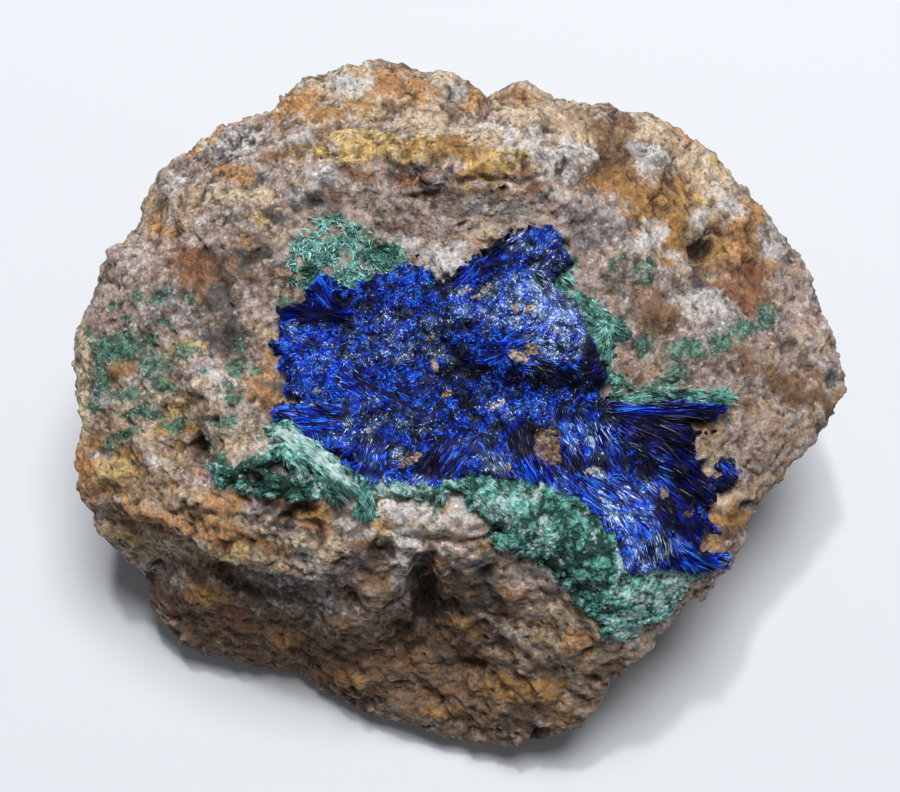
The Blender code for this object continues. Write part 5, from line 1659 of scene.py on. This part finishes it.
class SPECIMEN_OT_linarite(bpy.types.Operator):
    """Grow the blue needles over their crusts"""

    bl_idname = "specimen.linarite"
    bl_label = "Linarite"
    first_seed = 100

    def execute(self, context):
        settings = context.scene.specimen_linarite
        crust = Crust(bpy.data.objects["stone"])
        outline = crust.places[crust.blue & (crust.feather > 0.25)]
        crust.refine(0, len(BLUE_NODES) - 1, 1)
        needle = blue_needle()
        material = linarite_material(settings)
        stir = swirl(crust.points, 1.2 * MM, 40)
        seen = crust.places + stir[:, :2] * 5.0
        lie, reach, fan, loose = flow(seen, BLUE_STREAMS, settings.felt_length)
        # which way the needles lie: the felt is stirred, and each of its cells is turned
        lie = lie * 1.5 + stir * (1.3 * loose)[:, None] + crust.lean * (0.35 * loose)[:, None]
        sheaf, border, cell = facets(crust.points + 0.25 * MM * stir, 0.8 * MM, 48)
        border = 1.0 - smooth(border, 0.02, 0.22)
        way, lie = lie, turned_on_face(lie, (0.25 + 1.1 * loose) * (cell - 0.5))
        fan = fan * (0.6 + 0.4 * loose)
        # how long they are: short near the blue's outline and on steep steps
        reach = room_ahead(crust.places, outline, way, reach)
        margin = 0.2 * MM + 0.27 * MM * crust.room
        reach = np.where(loose > 0.3, np.minimum(reach, margin), reach)
        reach = reach * (1.0 - 0.75 * loose) + settings.felt_length * 0.75 * loose
        reach = reach * (1.0 - 0.75 * crust.wall)
        # how dark or pale they are: darker in the hollows between clumps and along the borders between
        # sheaves, paler on the clumps' tops, as painted shade and highlight
        clumps = wavy(crust.points, 0.55 * MM, 46, 3)
        tone, frost = blended(seen, BLUE_TONES, (0.48, 0.07)).T
        change = (0.10 + 0.50 * loose) * wavy(crust.points, 1.0 * MM, 45, 3)
        change += (0.12 + 0.55 * loose) * clumps + 0.35 * sheaf + 0.4 * (1.0 - loose) * (cell - 0.5)
        tone = tone + change * np.minimum(0.35 + 1.5 * tone, 1.0) - 0.32 * border
        # whitish needles, in sparkling spots and in whole pale sheaves, are painted glints
        sparkling = smooth(wavy(crust.points, 0.6 * MM, 47, 3), -0.05, 0.35)
        pale_sheaf = smooth(np.mod(cell * 7.0, 1.0), 0.8, 0.9)
        frost = frost * (0.4 + 1.1 * sparkling + 1.6 * pale_sheaf) + 0.11 * loose * sparkling ** 2
        lumps = (0.05 + 0.24 * loose) * MM * clumps
        growth = {
            "density": (1.0 - 0.5 * crumb_cover(crust.places)) * (1.0 - 0.35 * border),
            "lie": lie, "reach": reach, "fan": fan, "loose": 0.04 + 0.96 * loose, "tone": tone,
            "frost": frost,
        }
        # the bodies under the needles are kept much darker than the needles: painted shade in the gaps
        # between them
        skin = (tone * 0.36 - 0.08 + 0.08 * frost, 0.25 * frost)
        everywhere = np.ones(len(crust.points))
        for number, node in enumerate(BLUE_NODES):
            obj, used, share = crust.body(node, lumps, everywhere)
            paint(obj.data, used, share, growth, skin)
            grow(
                obj, needle, material, Sprays_per_Square_Metre=settings.sprays / MM ** 2,
                Needles_per_Spray=settings.needles_per_spray, Needle_Width=settings.needle_width,
                Lift=0.6, Tangle=1.5, Tone_Spread=0.2, Seed=self.first_seed + number,
            )
            finish_piece(obj, node, node + "_needles")
        bpy.data.objects.remove(needle)
        return {"FINISHED"}


class SPECIMEN_OT_crumbs(bpy.types.Operator):
    """Set the bits of stone in the blue crystals"""

    bl_idname = "specimen.crumbs"
    bl_label = "Bits of stone"

    # how far a bit's lowest top points and its foot lie in the crust
    dip = 0.1 * MM
    foot = 0.13 * MM

    @staticmethod
    def blue_tops():
        """Search trees of the blue bodies, without their needles."""
        tops = []
        for node in BLUE_NODES:
            mesh = bpy.data.objects[node + "_needles"].data
            solid = get_attribute(mesh, "shine") < 0.5
            faces = triangles_of(mesh)
            faces = faces[solid[faces].all(axis=1)]
            points = points_and_normals(mesh)[0]
            tops.append(BVHTree.FromPolygons(points.tolist(), faces.tolist()))
        return tops

    @staticmethod
    def ball():
        """(points, faces) of a ball with a radius of 1."""
        shape = bmesh.new()
        bmesh.ops.create_icosphere(shape, subdivisions=4, radius=1.0)
        mesh = bpy.data.meshes.new("ball")
        shape.to_mesh(mesh)
        shape.free()
        points, faces = points_and_normals(mesh)[0], triangles_of(mesh)
        bpy.data.meshes.remove(mesh)
        return points, faces

    @staticmethod
    def seen_place(tops, x, y):
        """The place on the blue crusts that is seen at a pixel."""
        eye = FACE_CENTRE + OUT * VIEW_HEIGHT
        way = (
            -OUT + ACROSS * (x - PICTURE_MIDDLE[0]) / FOCAL_PIXELS
            - UP_FACE * (y - PICTURE_MIDDLE[1]) / FOCAL_PIXELS
        )
        hits = [top.ray_cast(Vector(eye), Vector(way).normalized()) for top in tops]
        hits = [(distance, place) for place, _, _, distance in hits if place is not None]
        if not hits:
            raise RuntimeError(f"a bit of stone lies on nothing at {x:.0f}, {y:.0f}")
        return min(hits)[1]

    def execute(self, context):
        settings = context.scene.specimen_stone
        tops = self.blue_tops()
        sphere, sphere_faces = self.ball()
        places, faces, tints = [], [], []
        for name, x, y, half_width, half_height, turn in CRUMBS:
            angle = math.radians(turn)
            right, up = sphere[:, 0] * half_width, sphere[:, 1] * half_height
            across = x + right * math.cos(angle) + up * math.sin(angle)
            down = y - right * math.sin(angle) + up * math.cos(angle)
            base = np.array([self.seen_place(tops, *place) for place in zip(across, down)])
            rough = 1.8 * wavy(base, 0.28 * MM, 70, 4) + 1.3 * facets(base, 0.3 * MM, 71)[0]
            rise = settings.crumb_rise * min(half_width, half_height) * PIXEL
            height = np.maximum(rise * (1.5 * sphere[:, 2] - 0.42 + rough), -self.dip)
            height = np.where(sphere[:, 2] > 0.0, height, -self.foot * (1.0 - sphere[:, 2]))
            faces.append(sphere_faces + len(sphere) * len(places))
            places.append(base + OUT * height[:, None])
            mottled = smooth(wavy(base, 0.2 * MM, 72, 4), -0.2, 0.25)[:, None]
            colour = 1.15 * np.array(getattr(settings, name))
            colour = colour + 0.75 * mottled * (np.array(settings.earth) - colour)
            tints.append(np.column_stack((colour, np.full(len(colour), 0.6))))
        mesh = bpy.data.meshes.new("stone_crumbs")
        mesh.from_pydata(np.concatenate(places), [], np.concatenate(faces).tolist())
        set_attribute(mesh, "tint", np.concatenate(tints), "FLOAT_COLOR")
        for name in ("film", "hollow_shade"):
            set_attribute(mesh, name, np.zeros(len(mesh.vertices)))
        mesh.materials.append(bpy.data.materials["broken_stone"])
        mesh.shade_smooth()
        crumbs = new_object("stone_crumbs", mesh)
        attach(crumbs, "root")
        return {"FINISHED"}


class SPECIMEN_OT_green(bpy.types.Operator):
    """Grow the green fibres over their crusts and on the bare stone"""

    bl_idname = "specimen.green"
    bl_label = "Green fibres"
    first_seed = 200
    specks_seed = 300

    def execute(self, context):
        settings = context.scene.specimen_green
        stone = bpy.data.objects["stone"]
        crust = Crust(stone)
        crust.refine(len(BLUE_NODES), len(CRUST_NODES) - 1, 2)
        fibre = green_fibre()
        material = green_material(settings)
        stir = swirl(crust.points, 1.1 * MM, 50)
        seen = crust.places + stir[:, :2] * 6.0
        lie, reach, fan, loose = flow(seen, GREEN_STREAMS, settings.fibre_length)
        lie = lie * 1.4 + stir * (1.2 * loose)[:, None] + crust.lean * (0.5 * loose)[:, None]
        tone, frost = blended(seen, GREEN_TONES, (0.5, 0.2)).T
        bent = crust.points + 0.35 * MM * stir
        cushions = 0.6 * balls(bent, 1.25 * MM, 56) + 0.4 * balls(bent, 0.55 * MM, 58)
        grit = wavy(crust.points, 0.3 * MM, 59, 3)
        _, border, cell = facets(bent, 0.7 * MM, 62)
        lie = turned_on_face(lie, 1.6 * (cell - 0.5) * loose)
        # the tone follows the cushions and grit that also raise the bodies, and drops on cell borders:
        # painted highlight on the tops and painted shade between them
        tone = tone + 0.5 * cushions + 0.25 * grit - 0.02 + 0.3 * (cell - 0.5)
        tone = tone - 0.25 * (1.0 - smooth(border, 0.02, 0.2))
        whitish = smooth(frost + 0.55 * wavy(bent, 0.9 * MM, 60, 4) + 0.25 * grit, 0.25, 0.55)
        lumps = (0.40 * cushions + 0.14 * grit - 0.05) * MM
        for ellipse in EVEN_SLOPES:
            lumps *= 1.0 - 0.7 * smooth(in_ellipse(seen, *ellipse), 0.42, 0.65)
        sparse = self.sparse_places(crust.points)
        for number, node in enumerate(GREEN_NODES):
            thin, long, lift, width, share_grown = GREEN_HABITS[node]
            fill = 1.0 - thin * (0.98 - 0.22 * sparse)
            obj, used, share = crust.body(node, lumps * (1.0 - 0.5 * thin), fill)
            alive = np.maximum(share, thin * crust.feather[used])
            growth = {
                "density": share_grown * (1.0 - thin * (0.9 - 0.9 * sparse)), "lie": lie,
                "reach": reach * long, "fan": fan, "loose": loose, "tone": tone,
                "frost": 0.5 * whitish,
            }
            # thin crusts' bodies are darker than their fibres: painted shade under the fibres
            skin = (tone - 0.25 * thin, whitish * (1.0 - thin))
            paint(obj.data, used, alive, growth, skin)
            grow(
                obj, fibre, material, Sprays_per_Square_Metre=settings.sprays / MM ** 2,
                Needles_per_Spray=settings.fibres_per_spray,
                Needle_Width=settings.fibre_width * width, Lift=lift, Tangle=1.0,
                Tone_Spread=0.2, Seed=self.first_seed + number,
            )
            finish_piece(obj, node, node + "_fibres")
        self.grow_specks(stone, fibre, material, settings)
        bpy.data.objects.remove(fibre)
        return {"FINISHED"}

    @staticmethod
    def sparse_places(points):
        """1 where fibres grow thickly on thin crusts and bare stone, 0 where they are missing."""
        return smooth(wavy(points, 1.2 * MM, 57, 3), -0.25, 0.3)

    def grow_specks(self, stone, fibre, material, settings):
        """Sparse fibres where the bare stone has its green film."""
        points = points_and_normals(stone.data)[0]
        bare = get_attribute(stone.data, "film") * (get_attribute(stone.data, "crust") < 0)
        bare = bare + 0.35 * self.sparse_places(points) - 0.15
        even = {"reach": 0.6 * settings.fibre_length, "fan": 1.0, "loose": 1.0, "frost": 0.2}
        specks = new_object("specks", stone.data.copy())
        set_attribute(specks.data, "density", smooth(bare, 0.35, 0.75) * 0.3)
        set_attribute(specks.data, "lie", np.zeros((len(points), 3)), "FLOAT_VECTOR")
        set_attribute(specks.data, "tone", 0.4 + 0.4 * wavy(points, 0.8 * MM, 61, 2))
        for name, value in even.items():
            set_attribute(specks.data, name, np.full(len(points), value))
        grow(
            specks, fibre, material, Sprays_per_Square_Metre=settings.sprays / MM ** 2,
            Needles_per_Spray=3, Needle_Width=settings.fibre_width, Lift=0.3, Tangle=1.0,
            Seed=self.specks_seed, Keep_Surface=False,
        )
        finish_piece(specks, None, "green_specks")


def plain_material(name, colour, roughness):
    material, _, shader = new_material(name)
    shader.inputs["Base Color"].default_value = opaque(colour)
    shader.inputs["Roughness"].default_value = roughness
    return material


def area_light(name, place, size, target, power):
    light = bpy.data.lights.new(name, "AREA")
    light.shape = "DISK"
    light.size = size
    light.energy = power
    obj = bpy.data.objects.new(name, light)
    obj.location = place
    obj.rotation_euler = (target - Vector(place)).to_track_quat("-Z", "Y").to_euler()
    bpy.context.scene.collection.objects.link(obj)


class SPECIMEN_OT_stage(bpy.types.Operator):
    """Make the floor, the lights and the camera"""

    bl_idname = "specimen.stage"
    bl_label = "Stage"

    # (place, width) of each light, and the colour of the light from all sides
    main_light = ((0.06, 0.17, 0.60), 0.26)
    small_light = ((-0.05, 0.20, 0.58), 0.04)
    sky_colour = (0.93, 0.96, 1.0)
    # how far the floor lies under the stone's foot, and how dull it is
    floor_gap = 0.05 * MM
    floor_roughness = 0.7

    def execute(self, context):
        settings = context.scene.specimen_stage
        half, under = settings.floor_size / 2.0, -self.floor_gap
        mesh = bpy.data.meshes.new("floor")
        corners = [(-half, -half, under), (half, -half, under), (half, half, under), (-half, half, under)]
        mesh.from_pydata(corners, [], [(0, 1, 2, 3)])
        mesh.materials.append(plain_material("floor", settings.floor_colour, self.floor_roughness))
        new_object("floor", mesh)

        target = Vector(FACE_CENTRE)
        area_light("main_light", *self.main_light, target, settings.key_power)
        area_light("small_light", *self.small_light, target, settings.glint_power)

        world = bpy.data.worlds.new("surroundings")
        world.use_nodes = True
        background = world.node_tree.nodes["Background"]
        background.inputs["Color"].default_value = opaque(self.sky_colour)
        background.inputs["Strength"].default_value = settings.sky_strength
        context.scene.world = world

        camera = bpy.data.objects.new("camera", bpy.data.cameras.new("camera"))
        camera.data.sensor_fit = "HORIZONTAL"
        camera.data.sensor_width = SENSOR_WIDTH
        camera.data.lens = SENSOR_WIDTH * FOCAL_PIXELS / PICTURE_WIDTH
        camera.data.clip_start = 0.01
        camera.data.clip_end = 10.0
        camera.location = target + Vector(OUT) * VIEW_HEIGHT
        camera.rotation_euler = (FACE_TILT, 0.0, 0.0)
        context.scene.collection.objects.link(camera)
        context.scene.camera = camera
        context.scene.view_settings.view_transform = "Standard"
        return {"FINISHED"}


class SPECIMEN_PT_panel(bpy.types.Panel):
    """Lists the pieces of the specimen"""

    bl_label = "Specimen"
    bl_idname = "SPECIMEN_PT_panel"
    bl_space_type = "VIEW_3D"
    bl_region_type = "UI"
    bl_category = "Specimen"

    def draw(self, context):
        for operator in OPERATORS:
            self.layout.operator(operator.bl_idname)


SETTINGS = {
    "specimen_stone": StoneSettings, "specimen_linarite": LinariteSettings,
    "specimen_green": GreenSettings, "specimen_stage": StageSettings,
}
OPERATORS = (
    SPECIMEN_OT_stone, SPECIMEN_OT_linarite, SPECIMEN_OT_crumbs, SPECIMEN_OT_green,
    SPECIMEN_OT_stage,
)


def register():
    for cls in (*SETTINGS.values(), *OPERATORS, SPECIMEN_PT_panel):
        bpy.utils.register_class(cls)
    for name, cls in SETTINGS.items():
        setattr(bpy.types.Scene, name, bpy.props.PointerProperty(type=cls))


def unregister():
    for name in SETTINGS:
        delattr(bpy.types.Scene, name)
    for cls in (SPECIMEN_PT_panel, *OPERATORS, *SETTINGS.values()):
        bpy.utils.unregister_class(cls)


def main():
    register()
    bpy.ops.specimen.stone()
    bpy.ops.specimen.linarite()
    bpy.ops.specimen.crumbs()
    bpy.ops.specimen.green()
    bpy.ops.specimen.stage()


if __name__ == "__main__":
    main()
